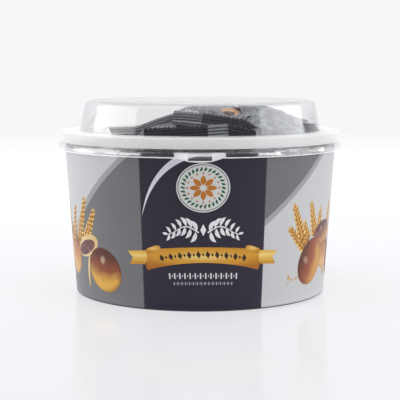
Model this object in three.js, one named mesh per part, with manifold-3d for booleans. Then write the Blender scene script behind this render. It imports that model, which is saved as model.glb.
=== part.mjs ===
// A round, clear plastic tub of wrapped date cookies, shut with a clear domed lid.
// Millimetres, +Z up. The origin is the middle of the flat base and the tear tab points to -Y.
import * as THREE from "three";
import { mergeVertices } from "three/addons/utils/BufferGeometryUtils.js";
import Module from "manifold-3d";

const wasm = await Module();
wasm.setup();

// ---------- driving dimensions ----------

const TURN_SEGMENTS = 40; // facets once round the tub and the lid

// tub
const BASE_RADIUS = 79.4; // where the printed wall's cone meets the base plane
const WALL_FLARE = 0.0707; // growth of the wall's radius for each millimetre of height
const WALL_THICK = 1.1;
const FLOOR_THICK = 1.3;
const FOOT_ROUND = 2.2; // outside radius between the base and the wall
const GROOVE_INNER = 62; // shallow ring pressed into the underside
const GROOVE_OUTER = 70;
const GROOVE_DEPTH = 0.8;
const FLANGE_UNDER = 93.6; // height at which the flange leaves the wall
const FLANGE_TOP = 95.9;
const RIM_RADIUS = 90; // lower edge of the tamper skirt, the widest ring of the pack
const SKIRT_BOTTOM = 91.2;
const SKIRT_THICK = 0.8;
const BEAD_OUTER = 86.1; // upstanding bead that the lid is pressed over
const BEAD_INNER = 84.3;
const BEAD_TOP = 101.8;

// printed label, moulded into a recess of the wall
const LABEL_THICK = 0.35;
const TOUCH_GAP = 0.3; // left between surfaces that touch
const LABEL_BOTTOM = 2.5;
const LABEL_TOP = 93.2;

// tear tab on the front of the skirt
const TAB_BACK_HALF = 14.9; // half its width where it leaves the skirt
const TAB_FRONT_HALF = 6.4;
const TAB_BACK_Y = -88.2;
const TAB_FRONT_Y = -96.6;
const TAB_TOP_BACK = 94.9; // the top plate slopes down outwards
const TAB_TOP_FRONT = 93;
const TAB_EDGE_SIDE = 91.9; // the lower edge dips towards the middle
const TAB_EDGE_MIDDLE = 89.5;
const TAB_WALL = 0.9;
const TAB_CUT_RADIUS = 89.2; // the tab starts inside the skirt's wall

// lid
const LID_THICK = 0.8;
const LID_SKIRT_BOTTOM = 96.3;
const LID_SKIRT_RADIUS = 88;
const LID_FLANGE_TOP = 102.9;
const PLUG_OUTER = 83.3; // ring that dips inside the bead
const PLUG_BOTTOM = 97.8;
const DOME_FOOT_RADIUS = 76.6;
const DOME_WALL_TOP_RADIUS = 73.4;
const DOME_WALL_TOP = 118.2;
const DOME_HEIGHT = 121.6;
const DOME_ROUND = 3.4; // shoulder between the dome's wall and its top
const STACK_RING_RADIUS = 68.6; // the top is pressed in a little inside this ring
const STACK_RING_DEPTH = 0.6;

// flow-wrapped packets
const PACKET_BODY_HALF = 31; // from the middle of a packet to the root of a crimp
const CRIMP_LENGTH = 10;
const CRIMP_HALF_WIDTH = 33;
const CRIMP_HALF_THICK = 0.6;
const PACKET_HALF_WIDTH = 27; // at the middle, where the film wraps the cookie
const PACKET_HALF_THICK = 11;
const BODY_STEPS = 6; // facets along a packet, with one more for each crimp
const WIDTH_STEPS = 4;
const FILM_EDGE = 0.5; // half thickness left along a packet's two long edges

// heap of packets below the ones that show
const HEAP_TOP = 74;
const HEAP_CROWN = 4; // how much higher the heap is in its middle
const HEAP_CLEARANCE = 0.4; // kept between the contents and the walls round them

// Each packet that shows: its middle, the way its front end points (yaw), how far that end
// dips (pitch), how far its left-hand edge rises (roll), and how its two crimps are bent. The
// end of some front crimps droops past a fold, and some packets are narrower than the rest.
const PACKETS = [
  { name: "packet_top", at: [13, -8, 107.8], yaw: -90, pitch: 5, roll: -7, front: 62, back: -20,
    halfWidth: 26, crimpHalf: 30, foldAt: 0.45, droop: 16 },
  { name: "packet_front", at: [0, -35.5, 80.3], yaw: -90, pitch: -38, roll: 4, front: 34, back: 0,
    foldAt: 0.5, droop: 12 },
  { name: "packet_front_right", at: [48, -34, 98], yaw: -86, pitch: 32, roll: -19, front: 0, back: -25,
    halfWidth: 20, crimpHalf: 25 },
  { name: "packet_front_left", at: [-10, -28, 97.5], yaw: 178, pitch: 2, roll: -8, front: 0, back: 0 },
  { name: "packet_left", at: [-25.5, 29, 97.5], yaw: -96, pitch: -5, roll: 21, front: 50, back: 0,
    halfWidth: 23, crimpHalf: 26 },
  { name: "packet_right", at: [44, 14, 98], yaw: -66, pitch: -6, roll: -6, front: 45, back: 0,
    foldAt: 0.45, droop: 14 },
  { name: "packet_back", at: [35, 38, 98], yaw: 172, pitch: 4, roll: 0, front: 15, back: 45 },
  { name: "packet_back_left", at: [-42, 42, 80], yaw: 135, pitch: 4, roll: 8, front: 0, back: 10 },
  { name: "packet_back_right", at: [38, 40, 82], yaw: 40, pitch: 8, roll: 10, front: 0, back: 0 },
  { name: "packet_left_low", at: [-48, -12, 84], yaw: -84, pitch: 4, roll: 10, front: 12, back: 5 },
  { name: "packet_right_low", at: [48, -12, 80], yaw: -96, pitch: 2, roll: -12, front: 18, back: 0 },
];

// ---------- finishes ----------

/** A material of the given colour; an opacity under 1 makes it clear. */
function finish(color, roughness, opacity = 1) {
  return new THREE.MeshStandardMaterial({
    color,
    roughness,
    metalness: 0,
    opacity,
    transparent: opacity < 1,
  });
}

const CLEAR_PLASTIC = finish("#e9ebee", 0.12, 0.35);
const PRINTED_LABEL = finish("#33313b", 0.3);
const GREY_FILM = finish("#8d9097", 0.35);
const DARK_FILM = finish("#2e2c38", 0.35);
const LIGHT_FILM = finish("#b9bcc4", 0.35);

// ---------- helpers ----------

const degrees = THREE.MathUtils.degToRad;

/** Points of a circular arc in a profile, from one angle to another. */
function arc(centreR, centreZ, radius, fromAngle, toAngle, steps) {
  const points = [];
  for (let i = 0; i <= steps; i += 1) {
    const angle = degrees(fromAngle + ((toAngle - fromAngle) * i) / steps);
    points.push([centreR + radius * Math.cos(angle), centreZ + radius * Math.sin(angle)]);
  }
  return points;
}

/** A ring or bowl turned from a profile of [radius, height] pairs. */
function turned(profile) {
  const points = profile.map(([r, z]) => new THREE.Vector2(r, z));
  return new THREE.LatheGeometry(points, TURN_SEGMENTS).rotateX(Math.PI / 2);
}

/** A closed geometry as a solid that can be joined and cut. */
function solid(geometry) {
  const bare = geometry.clone();
  bare.deleteAttribute("normal");
  bare.deleteAttribute("uv");
  const merged = mergeVertices(bare, 1e-4);
  return new wasm.Manifold(
    new wasm.Mesh({
      numProp: 3,
      vertProperties: new Float32Array(merged.attributes.position.array),
      triVerts: new Uint32Array(merged.index.array),
    }),
  );
}

/** The geometry of a solid's largest piece. */
function geometryOf(cut) {
  const pieces = cut.decompose().sort((a, b) => b.volume() - a.volume());
  const mesh = pieces[0].getMesh();
  const geometry = new THREE.BufferGeometry();
  geometry.setAttribute("position", new THREE.BufferAttribute(mesh.vertProperties, mesh.numProp));
  geometry.setIndex(new THREE.BufferAttribute(mesh.triVerts, 1));
  geometry.computeVertexNormals();
  return geometry;
}

/** A named node of the part. */
function node(name, geometry, material) {
  const mesh = new THREE.Mesh(geometry, material);
  mesh.name = name;
  return mesh;
}

/** Radius of the printed outer wall at a height. */
function wallRadius(z) {
  return BASE_RADIUS + WALL_FLARE * z;
}

// ---------- tub, label and lid ----------

/** The tub: floor, tapered wall with its label recess, flange, tamper skirt and lid bead. */
function tubBody() {
  const recess = LABEL_THICK + TOUCH_GAP;
  const footRadius = wallRadius(FOOT_ROUND);
  const inner = (z) => wallRadius(z) - recess - WALL_THICK;
  const innerRound = FOOT_ROUND - FLOOR_THICK;
  return turned([
    [0, 0],
    [GROOVE_INNER, 0],
    [GROOVE_INNER + 1, GROOVE_DEPTH],
    [GROOVE_OUTER - 1, GROOVE_DEPTH],
    [GROOVE_OUTER, 0],
    ...arc(footRadius - FOOT_ROUND, FOOT_ROUND, FOOT_ROUND, -90, 0, 4),
    [wallRadius(FOOT_ROUND) - recess, FOOT_ROUND],
    [wallRadius(FLANGE_UNDER) - recess, FLANGE_UNDER],
    [RIM_RADIUS - SKIRT_THICK - 0.5, FLANGE_UNDER + 1],
    [RIM_RADIUS - SKIRT_THICK, SKIRT_BOTTOM],
    [RIM_RADIUS, SKIRT_BOTTOM],
    [RIM_RADIUS - 0.5, FLANGE_TOP - 0.6],
    [RIM_RADIUS - 1, FLANGE_TOP],
    [BEAD_OUTER + 0.4, FLANGE_TOP],
    [BEAD_OUTER, FLANGE_TOP + 0.5],
    [BEAD_OUTER, BEAD_TOP - 0.5],
    [BEAD_OUTER - 0.5, BEAD_TOP],
    [BEAD_INNER + 0.4, BEAD_TOP],
    [BEAD_INNER, BEAD_TOP - 0.4],
    [inner(FLANGE_UNDER), FLANGE_UNDER],
    ...arc(inner(FOOT_ROUND) - innerRound, FOOT_ROUND, innerRound, 0, -90, 2),
    [0, FLOOR_THICK],
  ]);
}

/** The tab's outline from above, drawn in by a wall thickness on its three free sides. */
function tabOutline(inset) {
  const sideX = inset * 1.3; // the side walls stand at a slant, so the inset is longer along X
  const shape = new THREE.Shape();
  shape.moveTo(-TAB_BACK_HALF + sideX, TAB_BACK_Y);
  shape.lineTo(-TAB_FRONT_HALF + inset * 0.4, TAB_FRONT_Y + inset);
  shape.lineTo(0, TAB_FRONT_Y + inset);
  shape.lineTo(TAB_FRONT_HALF - inset * 0.4, TAB_FRONT_Y + inset);
  shape.lineTo(TAB_BACK_HALF - sideX, TAB_BACK_Y);
  return shape;
}

/** A block with the tab's outline, whose top slopes outwards and whose lower edge dips. */
function tabBlock(inset, drop, below) {
  const geometry = new THREE.ExtrudeGeometry(tabOutline(inset), {
    depth: 1,
    bevelEnabled: false,
  });
  const places = geometry.attributes.position;
  for (let i = 0; i < places.count; i += 1) {
    const x = places.getX(i);
    const out = (places.getY(i) - TAB_BACK_Y) / (TAB_FRONT_Y - TAB_BACK_Y);
    const top = TAB_TOP_BACK + (TAB_TOP_FRONT - TAB_TOP_BACK) * out - drop;
    const dip = 1 - (x / TAB_BACK_HALF) ** 2;
    const edge = TAB_EDGE_SIDE + (TAB_EDGE_MIDDLE - TAB_EDGE_SIDE) * dip - below;
    places.setZ(i, places.getZ(i) > 0.5 ? top : edge);
  }
  return solid(geometry);
}

/** The tub with its hollow tear tab joined to the front of the skirt. */
function tub() {
  const inside = new THREE.CylinderGeometry(TAB_CUT_RADIUS, TAB_CUT_RADIUS, 20, TURN_SEGMENTS);
  inside.rotateX(Math.PI / 2).translate(0, 0, TAB_TOP_BACK);
  const tab = tabBlock(0, 0, 0)
    .subtract(tabBlock(TAB_WALL, TAB_WALL, 2))
    .subtract(solid(inside));
  return geometryOf(solid(tubBody()).add(tab));
}

/** The printed label: a thin sleeve in the recess of the wall. */
function label() {
  const low = wallRadius(LABEL_BOTTOM);
  const high = wallRadius(LABEL_TOP);
  return turned([
    [low - LABEL_THICK, LABEL_BOTTOM],
    [low, LABEL_BOTTOM],
    [high, LABEL_TOP],
    [high - LABEL_THICK, LABEL_TOP],
    [low - LABEL_THICK, LABEL_BOTTOM],
  ]);
}

/** The lid: skirt, flange, plug ring and dome with a pressed top. */
function lid() {
  const skirtInner = LID_SKIRT_RADIUS - LID_THICK;
  const flangeUnder = LID_FLANGE_TOP - LID_THICK;
  const shoulder = DOME_HEIGHT - DOME_ROUND;
  const shoulderR = DOME_WALL_TOP_RADIUS - DOME_ROUND;
  const top = DOME_HEIGHT - STACK_RING_DEPTH;
  return turned([
    [0, top - LID_THICK],
    [STACK_RING_RADIUS - 1.2, top - LID_THICK],
    [STACK_RING_RADIUS, DOME_HEIGHT - LID_THICK],
    ...arc(shoulderR, shoulder, DOME_ROUND - LID_THICK, 80, 10, 2),
    [DOME_FOOT_RADIUS - LID_THICK, flangeUnder + 0.8],
    [DOME_FOOT_RADIUS - 0.2, flangeUnder],
    [PLUG_OUTER - LID_THICK, flangeUnder],
    [PLUG_OUTER - LID_THICK, PLUG_BOTTOM],
    [PLUG_OUTER, PLUG_BOTTOM],
    [PLUG_OUTER, flangeUnder],
    [skirtInner, flangeUnder],
    [skirtInner, LID_SKIRT_BOTTOM],
    [LID_SKIRT_RADIUS, LID_SKIRT_BOTTOM],
    [LID_SKIRT_RADIUS - 0.2, LID_FLANGE_TOP - 1],
    [LID_SKIRT_RADIUS - 1, LID_FLANGE_TOP],
    [DOME_FOOT_RADIUS + 0.6, LID_FLANGE_TOP],
    [DOME_FOOT_RADIUS, LID_FLANGE_TOP + 0.6],
    [DOME_WALL_TOP_RADIUS, DOME_WALL_TOP],
    ...arc(shoulderR, shoulder, DOME_ROUND, 30, 90, 2),
    [STACK_RING_RADIUS, DOME_HEIGHT],
    [STACK_RING_RADIUS - 1.2, top],
    [0, top],
  ]);
}

/** The room inside the tub and the dome, less a small clearance. */
function room() {
  const inner = (z) => wallRadius(z) - LABEL_THICK - TOUCH_GAP - WALL_THICK - HEAP_CLEARANCE;
  const domeGap = LID_THICK + HEAP_CLEARANCE;
  const floor = FLOOR_THICK + TOUCH_GAP;
  return solid(turned([
    [0, floor],
    [inner(floor) - FOOT_ROUND, floor],
    [inner(FOOT_ROUND * 2), FOOT_ROUND * 2],
    [inner(PLUG_BOTTOM - 3), PLUG_BOTTOM - 3],
    [PLUG_OUTER - domeGap, PLUG_BOTTOM - 1],
    [PLUG_OUTER - domeGap, LID_FLANGE_TOP - domeGap],
    [DOME_FOOT_RADIUS - domeGap - 0.4, LID_FLANGE_TOP - domeGap],
    [DOME_WALL_TOP_RADIUS - domeGap, DOME_WALL_TOP],
    [STACK_RING_RADIUS - domeGap, DOME_HEIGHT - STACK_RING_DEPTH - domeGap],
    [0, DOME_HEIGHT - STACK_RING_DEPTH - domeGap],
  ]));
}

// ---------- contents ----------

/** A flow-wrapped packet lying along X: a pillow with a flat crimp at each end, grown all round. */
function packetGeometry(spec, grow) {
  const steps = BODY_STEPS + 2;
  const bodyShare = BODY_STEPS / steps;
  const bodyHalf = spec.halfWidth ?? PACKET_HALF_WIDTH;
  const crimpHalf = spec.crimpHalf ?? CRIMP_HALF_WIDTH;
  const geometry = new THREE.BoxGeometry(2, 2, 2, steps, WIDTH_STEPS, 1);
  const places = geometry.attributes.position;
  for (let i = 0; i < places.count; i += 1) {
    const along = places.getX(i);
    const across = places.getY(i);
    const inBody = Math.min(Math.abs(along) / bodyShare, 1);
    const pastRoot = Math.max(Math.abs(along) - bodyShare, 0) / (1 - bodyShare);
    const swell = (1 - inBody ** 2.6) ** 0.75;
    const halfWidth = crimpHalf - (crimpHalf - bodyHalf) * (1 - inBody ** 3);
    const crown = FILM_EDGE + (1 - Math.abs(across) ** 2.6) ** 0.6 * (PACKET_HALF_THICK - FILM_EDGE) * swell;
    const halfThick = Math.max(crown, CRIMP_HALF_THICK) + grow;
    const bend = degrees(along > 0 ? spec.front : spec.back);
    const reach = pastRoot * (CRIMP_LENGTH + grow);
    const x = Math.sign(along) * (inBody * PACKET_BODY_HALF + reach * Math.cos(bend));
    const past = along > bodyShare ? Math.max(across - (spec.foldAt ?? 1), 0) : 0;
    const drop = past * (spec.droop ?? 0);
    const z = Math.sign(places.getZ(i)) * halfThick + reach * Math.sin(bend) - drop;
    places.setXYZ(i, x, across * (halfWidth + grow), z);
  }
  const turn = new THREE.Euler(degrees(spec.roll), degrees(spec.pitch), degrees(spec.yaw), "ZYX");
  const place = new THREE.Matrix4().makeRotationFromEuler(turn).setPosition(...spec.at);
  return geometry.applyMatrix4(place);
}

/** The crowned heap of packets below the ones that show, as one solid. */
function heapSolid() {
  const wall = (z) => wallRadius(z) - LABEL_THICK - TOUCH_GAP - WALL_THICK - HEAP_CLEARANCE;
  const floor = FLOOR_THICK + TOUCH_GAP;
  return solid(turned([
    [0, floor],
    [wall(floor) - FOOT_ROUND, floor],
    [wall(FOOT_ROUND * 2), FOOT_ROUND * 2],
    [wall(HEAP_TOP - HEAP_CROWN), HEAP_TOP - HEAP_CROWN],
    [wall(HEAP_TOP) * 0.5, HEAP_TOP + HEAP_CROWN * 0.7],
    [0, HEAP_TOP + HEAP_CROWN],
  ]));
}

/** The packets, each cut clear of those laid over it, and the heap, cut clear of them all. */
function contents() {
  const films = [DARK_FILM, GREY_FILM, LIGHT_FILM];
  const meshes = [];
  const inside = room();
  let above = null;
  PACKETS.forEach((spec, index) => {
    const whole = solid(packetGeometry(spec, 0)).intersect(inside);
    const free = above ? whole.subtract(above) : whole;
    meshes.push(node(spec.name, geometryOf(free), films[index % films.length]));
    const grown = solid(packetGeometry(spec, TOUCH_GAP));
    above = above ? above.add(grown) : grown;
  });
  meshes.push(node("packets_below", geometryOf(heapSolid().subtract(above)), GREY_FILM));
  return meshes;
}

// ---------- the part ----------

const pack = new THREE.Group();
pack.add(node("tub", tub(), CLEAR_PLASTIC));
pack.add(node("label", label(), PRINTED_LABEL));
pack.add(node("lid", lid(), CLEAR_PLASTIC));
pack.add(...contents());

export default pack;
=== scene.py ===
"""A shut, clear tub of wrapped date cookies: its plastic, its printed wrap and its packets."""

import logging
import math
from dataclasses import dataclass, field
from enum import Enum
from functools import cache
from typing import Callable, Iterable, Sequence

import bmesh
import bpy
import numpy as np
from bpy.types import Material, Mesh, NodeTree
from mathutils import Euler, Matrix, Vector


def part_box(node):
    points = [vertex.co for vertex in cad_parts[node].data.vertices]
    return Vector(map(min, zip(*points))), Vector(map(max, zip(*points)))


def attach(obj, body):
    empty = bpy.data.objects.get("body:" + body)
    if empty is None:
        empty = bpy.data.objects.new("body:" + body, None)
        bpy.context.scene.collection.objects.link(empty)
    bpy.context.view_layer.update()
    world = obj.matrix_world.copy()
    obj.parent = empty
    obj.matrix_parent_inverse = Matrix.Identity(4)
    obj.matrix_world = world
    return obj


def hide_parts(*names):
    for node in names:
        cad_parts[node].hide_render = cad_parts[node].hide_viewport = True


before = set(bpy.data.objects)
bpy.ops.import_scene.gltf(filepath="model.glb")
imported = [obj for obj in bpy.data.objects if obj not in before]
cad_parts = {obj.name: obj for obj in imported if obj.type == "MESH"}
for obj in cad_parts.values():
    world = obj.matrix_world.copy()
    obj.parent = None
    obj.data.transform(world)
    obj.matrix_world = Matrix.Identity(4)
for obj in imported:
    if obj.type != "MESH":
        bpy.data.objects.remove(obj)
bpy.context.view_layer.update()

MM = 0.001
WELD = 0.002 * MM
PRINT_IOR = 1.45
INK_GLOSS = {"IOR": PRINT_IOR, "Specular_IOR_Level": 0.3}
INK_RELIEF = 0.05 * MM
FILM_CREASE = math.radians(32.0)
PATTERN_UNIT = 50.0
PLAIN_INPUTS = ("Count", "Seed", "Squash", "Splay", "Lean", "Small")
Pair = tuple[float, float]
log = logging.getLogger("cookie_tub")


# ---------- small helpers ----------


def shade(code: str) -> tuple[float, float, float, float]:
    """Turn a hex colour into the linear colour that a shader socket holds.

    Args:
        code: Six hex digits, as on a paint card.

    Returns:
        Red, green, blue and an alpha of 1.
    """
    parts = [int(code[i : i + 2], 16) / 255 for i in (0, 2, 4)]
    linear = [c / 12.92 if c <= 0.04045 else ((c + 0.055) / 1.055) ** 2.4 for c in parts]
    return (*linear, 1.0)


def arc(centre: Pair, radius: float, start: float, end: float, steps: int) -> list[Pair]:
    """List the points of a circular arc.

    Args:
        centre: The arc's centre.
        radius: Its radius.
        start: Where it starts, in degrees.
        end: Where it ends, in degrees.
        steps: How many chords stand for it.

    Returns:
        The points, both ends included.
    """
    angles = [math.radians(start + (end - start) * i / steps) for i in range(steps + 1)]
    return [(centre[0] + radius * math.cos(a), centre[1] + radius * math.sin(a)) for a in angles]


def oval(centre: Pair, half: Pair, lean: float = 0.0, steps: int = 48) -> list[Pair]:
    """List the points of a leaning oval, anticlockwise.

    Args:
        centre: Its middle.
        half: Its half width and half height.
        lean: How far it is turned anticlockwise, in degrees.
        steps: How many points it has.

    Returns:
        The points, without a repeat of the first.
    """
    along, aside = math.cos(math.radians(lean)), math.sin(math.radians(lean))
    points = []
    for angle in (2 * math.pi * i / steps for i in range(steps)):
        x, y = half[0] * math.cos(angle), half[1] * math.sin(angle)
        points.append((centre[0] + x * along - y * aside, centre[1] + x * aside + y * along))
    return points


# ---------- node trees written as expressions ----------


def math_method(operation: str) -> Callable[..., "Value"]:
    """Make a method of Value that adds one Math node.

    Args:
        operation: The node's operation.

    Returns:
        The method, which takes the node's other inputs.
    """

    def method(value: "Value", *others: "Value | float") -> "Value":
        """Add the node and give its result."""
        return value.maths(operation, *others)

    return method


class Value:
    """A socket of a node tree that takes part in Python arithmetic."""

    def __init__(self, maker: "NodeMaker", socket: bpy.types.NodeSocket) -> None:
        """Keep the socket and the maker that adds its Math nodes."""
        self.maker = maker
        self.socket = socket

    def maths(self, operation: str, *others: "Value | float") -> "Value":
        """Feed this value and the others to one Math node.

        Args:
            operation: The Math node's operation.
            others: Its second and third inputs.

        Returns:
            The node's result.
        """
        sockets = dict(enumerate((self, *others)))
        return self.maker.value("ShaderNodeMath", sockets, operation=operation)

    __add__ = __radd__ = math_method("ADD")
    __sub__ = math_method("SUBTRACT")
    __mul__ = math_method("MULTIPLY")
    __truediv__ = math_method("DIVIDE")
    __pow__ = math_method("POWER")
    __abs__ = math_method("ABSOLUTE")
    least = math_method("MINIMUM")
    most = math_method("MAXIMUM")
    sine = math_method("SINE")
    cosine = math_method("COSINE")
    angle = math_method("ARCTAN2")

    def __rsub__(self, other: float) -> "Value":
        """Subtract from a number."""
        return self.maker.value("ShaderNodeMath", {0: other, 1: self}, operation="SUBTRACT")

    def rise(self, low: float, high: float) -> "Value":
        """Go smoothly from 0 at one value to 1 at another.

        Args:
            low: Where the result is 0.
            high: Where the result is 1, which may be the smaller.

        Returns:
            A value from 0 to 1.
        """
        sockets = {0: self, 1: min(low, high), 2: max(low, high)}
        if high < low:
            sockets |= {3: 1.0, 4: 0.0}
        kind = "ShaderNodeMapRange"
        return self.maker.value(kind, sockets, interpolation_type="SMOOTHSTEP")

    def within(self, low: float, high: float, soft: float) -> "Value":
        """Give 1 between two values and 0 outside them, with soft edges."""
        return self.rise(low - soft, low + soft) * self.rise(high + soft, high - soft)


class NodeMaker:
    """Adds the nodes of one tree."""

    def __init__(self, tree: NodeTree) -> None:
        """Keep the tree."""
        self.tree = tree

    def add(self, kind: str, sockets: dict | None = None, **settings: object) -> bpy.types.Node:
        """Add a node, set it and feed it.

        Args:
            kind: The node's type.
            sockets: Values or links of its inputs, by name or number.
            settings: Its properties.

        Returns:
            The node.
        """
        node = self.tree.nodes.new(kind)
        for name, setting in settings.items():
            setattr(node, name, setting)
        for name, given in (sockets or {}).items():
            source = given.socket if isinstance(given, Value) else given
            if isinstance(source, bpy.types.NodeSocket):
                self.tree.links.new(source, node.inputs[name])
            else:
                node.inputs[name].default_value = source
        return node

    def value(
        self, kind: str, sockets: dict | None = None, output: int | str = 0, **settings: object
    ) -> Value:
        """Add a node and wrap one of its outputs.

        Args:
            kind: The node's type.
            sockets: Its inputs.
            output: The output that is wanted, by number or name.
            settings: Its properties.

        Returns:
            That output, ready for arithmetic.
        """
        return Value(self, self.add(kind, sockets, **settings).outputs[output])

    def parts(self, vector: Value) -> tuple[Value, Value, Value]:
        """Split a vector into its three numbers."""
        node = self.add("ShaderNodeSeparateXYZ", {0: vector})
        return tuple(Value(self, socket) for socket in node.outputs)

    def vector(self, x: Value | float, y: Value | float, z: Value | float) -> Value:
        """Join three numbers into a vector."""
        return self.value("ShaderNodeCombineXYZ", {0: x, 1: y, 2: z})

    def noise(self, vector: Value, scale: float, detail: float = 2.0) -> Value:
        """Add a Noise Texture and give its grey value."""
        sockets = {"Vector": vector, "Scale": scale, "Detail": detail}
        return self.value("ShaderNodeTexNoise", sockets)

    def blend(self, share: Value | float, first: object, second: object) -> Value:
        """Mix two colours.

        Args:
            share: 0 for the first and 1 for the second.
            first: A hex colour, a linear colour or a colour socket.
            second: The other one.

        Returns:
            The mixed colour.
        """
        first, second = (shade(c) if isinstance(c, str) else c for c in (first, second))
        sockets = {0: share, 6: first, 7: second}
        return self.value("ShaderNodeMix", sockets, 2, data_type="RGBA")


class Surface(NodeMaker):
    """The node tree of one material, with a Principled shader ready to be fed."""

    def __init__(self, name: str, **constants: float | tuple) -> None:
        """Start a material.

        Args:
            name: The material's name.
            constants: Shader inputs that are the same all over, with _ for a space.
        """
        self.material = bpy.data.materials.new(name)
        self.material.use_nodes = True
        super().__init__(self.material.node_tree)
        self.tree.nodes.clear()
        self.shader = self.add("ShaderNodeBsdfPrincipled")
        self.output = self.add("ShaderNodeOutputMaterial", {0: self.shader.outputs[0]})
        for name_part, constant in constants.items():
            self.shader.inputs[name_part.replace("_", " ")].default_value = constant

    def place(self) -> Value:
        """Give the point's place in the object's own frame, in metres."""
        return self.value("ShaderNodeTexCoord", output="Object")

    def cut(self) -> tuple[Value, Value]:
        """Give the two numbers of the piece's own flat pattern."""
        across, along, _ = self.parts(self.value("ShaderNodeTexCoord", output="UV"))
        return across, along

    def feed(self, **inputs: Value) -> None:
        """Link values to the shader's inputs, named with _ for a space."""
        for name, value in inputs.items():
            self.tree.links.new(value.socket, self.shader.inputs[name.replace("_", " ")])

    def bump(self, height: Value, strength: float, distance: float) -> None:
        """Let a height raise the surface.

        Args:
            height: The height, from 0 to 1.
            strength: How strongly it shows.
            distance: What a height of 1 stands for, in metres.
        """
        sockets = {"Height": height, "Strength": strength, "Distance": distance}
        self.feed(Normal=self.value("ShaderNodeBump", sockets))

    def clear(self, share: Value) -> None:
        """Show the shader for a share of each point and what is behind for the rest."""
        through = self.add("ShaderNodeBsdfTransparent")
        sockets = {0: share, 1: through.outputs[0], 2: self.shader.outputs[0]}
        mixed = self.add("ShaderNodeMixShader", sockets)
        self.tree.links.new(mixed.outputs[0], self.output.inputs[0])


# ---------- finishes ----------


@dataclass(frozen=True)
class Finish:
    """A named finish; each kind builds its own material."""

    name: str

    def build(self) -> Material:
        """Build the material."""
        raise NotImplementedError

    def material(self) -> Material:
        """Give the material, built once."""
        return bpy.data.materials.get(self.name) or self.build()


@dataclass(frozen=True)
class Band:
    """A part of a clear wall, by height and distance from the middle, that looks different.

    `milk` is how solid it looks, `sheen` how strongly it mirrors, `tone` its colour, which its
    milky part also glows with as painted light, and `gap` the half-width of a break in it at the
    front's middle.
    """

    low: float
    high: float
    inner: float
    outer: float
    milk: float = 0.0
    sheen: float = 0.0
    tone: str = "e4e4e2"
    soft: float = 0.35
    gap: float = 0.0

    def share(self, height: "Value", radius: "Value", beside: "Value") -> "Value":
        """Say how far a place is in the band, in millimetres.

        Args:
            height: The place's height.
            radius: Its distance from the middle.
            beside: Its distance to either side of the front's middle.

        Returns:
            A value that is 1 in the band and 0 outside it.
        """
        across = radius.within(self.inner, self.outer, self.soft)
        here = height.within(self.low, self.high, self.soft) * across
        return here * beside.rise(self.gap - 0.3, self.gap + 0.3) if self.gap else here


@dataclass(frozen=True)
class ClearPlastic(Finish):
    """Thin, clear, moulded plastic, with bands where its folded walls look milky or gleam; the
    milky bands also glow in their tone, which is painted light.
    """

    bands: tuple[Band, ...] = ()
    veil: float = 0.015
    clear: str = "f6f7f8"
    # how strongly the milky bands glow: painted light, as no lamp is there
    glow: float = 0.36
    scatter: float = 6.0

    def build(self) -> Material:
        """Build the plastic from its gloss at an angle and its bands.

        Returns:
            The material.
        """
        radii = (self.scatter * MM,) * 3
        thin = {"Subsurface_Weight": 0.7, "Subsurface_Radius": radii, "Subsurface_Scale": 1.0}
        surface = Surface(self.name, IOR=1.46, Emission_Strength=self.glow, **thin)
        place = surface.place()
        x, y, z = surface.parts(place)
        radius = (x * x + y * y) ** 0.5 / MM
        height = z / MM
        beside = abs(x) / MM + y.rise(-10 * MM, 10 * MM) * 100.0
        cloud = surface.noise(place, 38.0, 3.0)
        waves = surface.noise(place, 22.0, 1.0)
        flattened = surface.vector(x * 0.6, y * 0.6, z * 4.0)
        streaks = surface.noise(flattened, 90.0, 2.0).rise(0.42, 0.56)
        facing = surface.value("ShaderNodeLayerWeight", {"Blend": 0.5}, "Facing")
        gloss = facing ** 5.0 * 0.95 + 0.04 + self.veil
        solid = cloud * 0.0
        colour = self.clear
        for band in self.bands:
            share = band.share(height, radius, beside)
            if band.sheen:
                gloss = gloss + share * band.sheen * (0.12 + streaks * 0.88)
            if band.milk:
                solid = solid.most(share * band.milk * (0.86 + cloud * 0.28))
                colour = surface.blend(share, colour, band.tone)
        milky = (solid * 3.0).least(1.0)
        surface.feed(
            Base_Color=surface.blend(milky, self.clear, colour),
            Metallic=1.0 - milky,
            Roughness=0.05 + milky * 0.2 + cloud * 0.03,
            # painted light: the milky bands glow in their tone, to stay bright where they sit in
            # shade
            Emission_Color=surface.blend(milky, "000000", colour),
        )
        surface.bump(waves, 0.35, 0.6 * MM)
        surface.clear(gloss.most(solid).least(1.0))
        return surface.material


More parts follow.
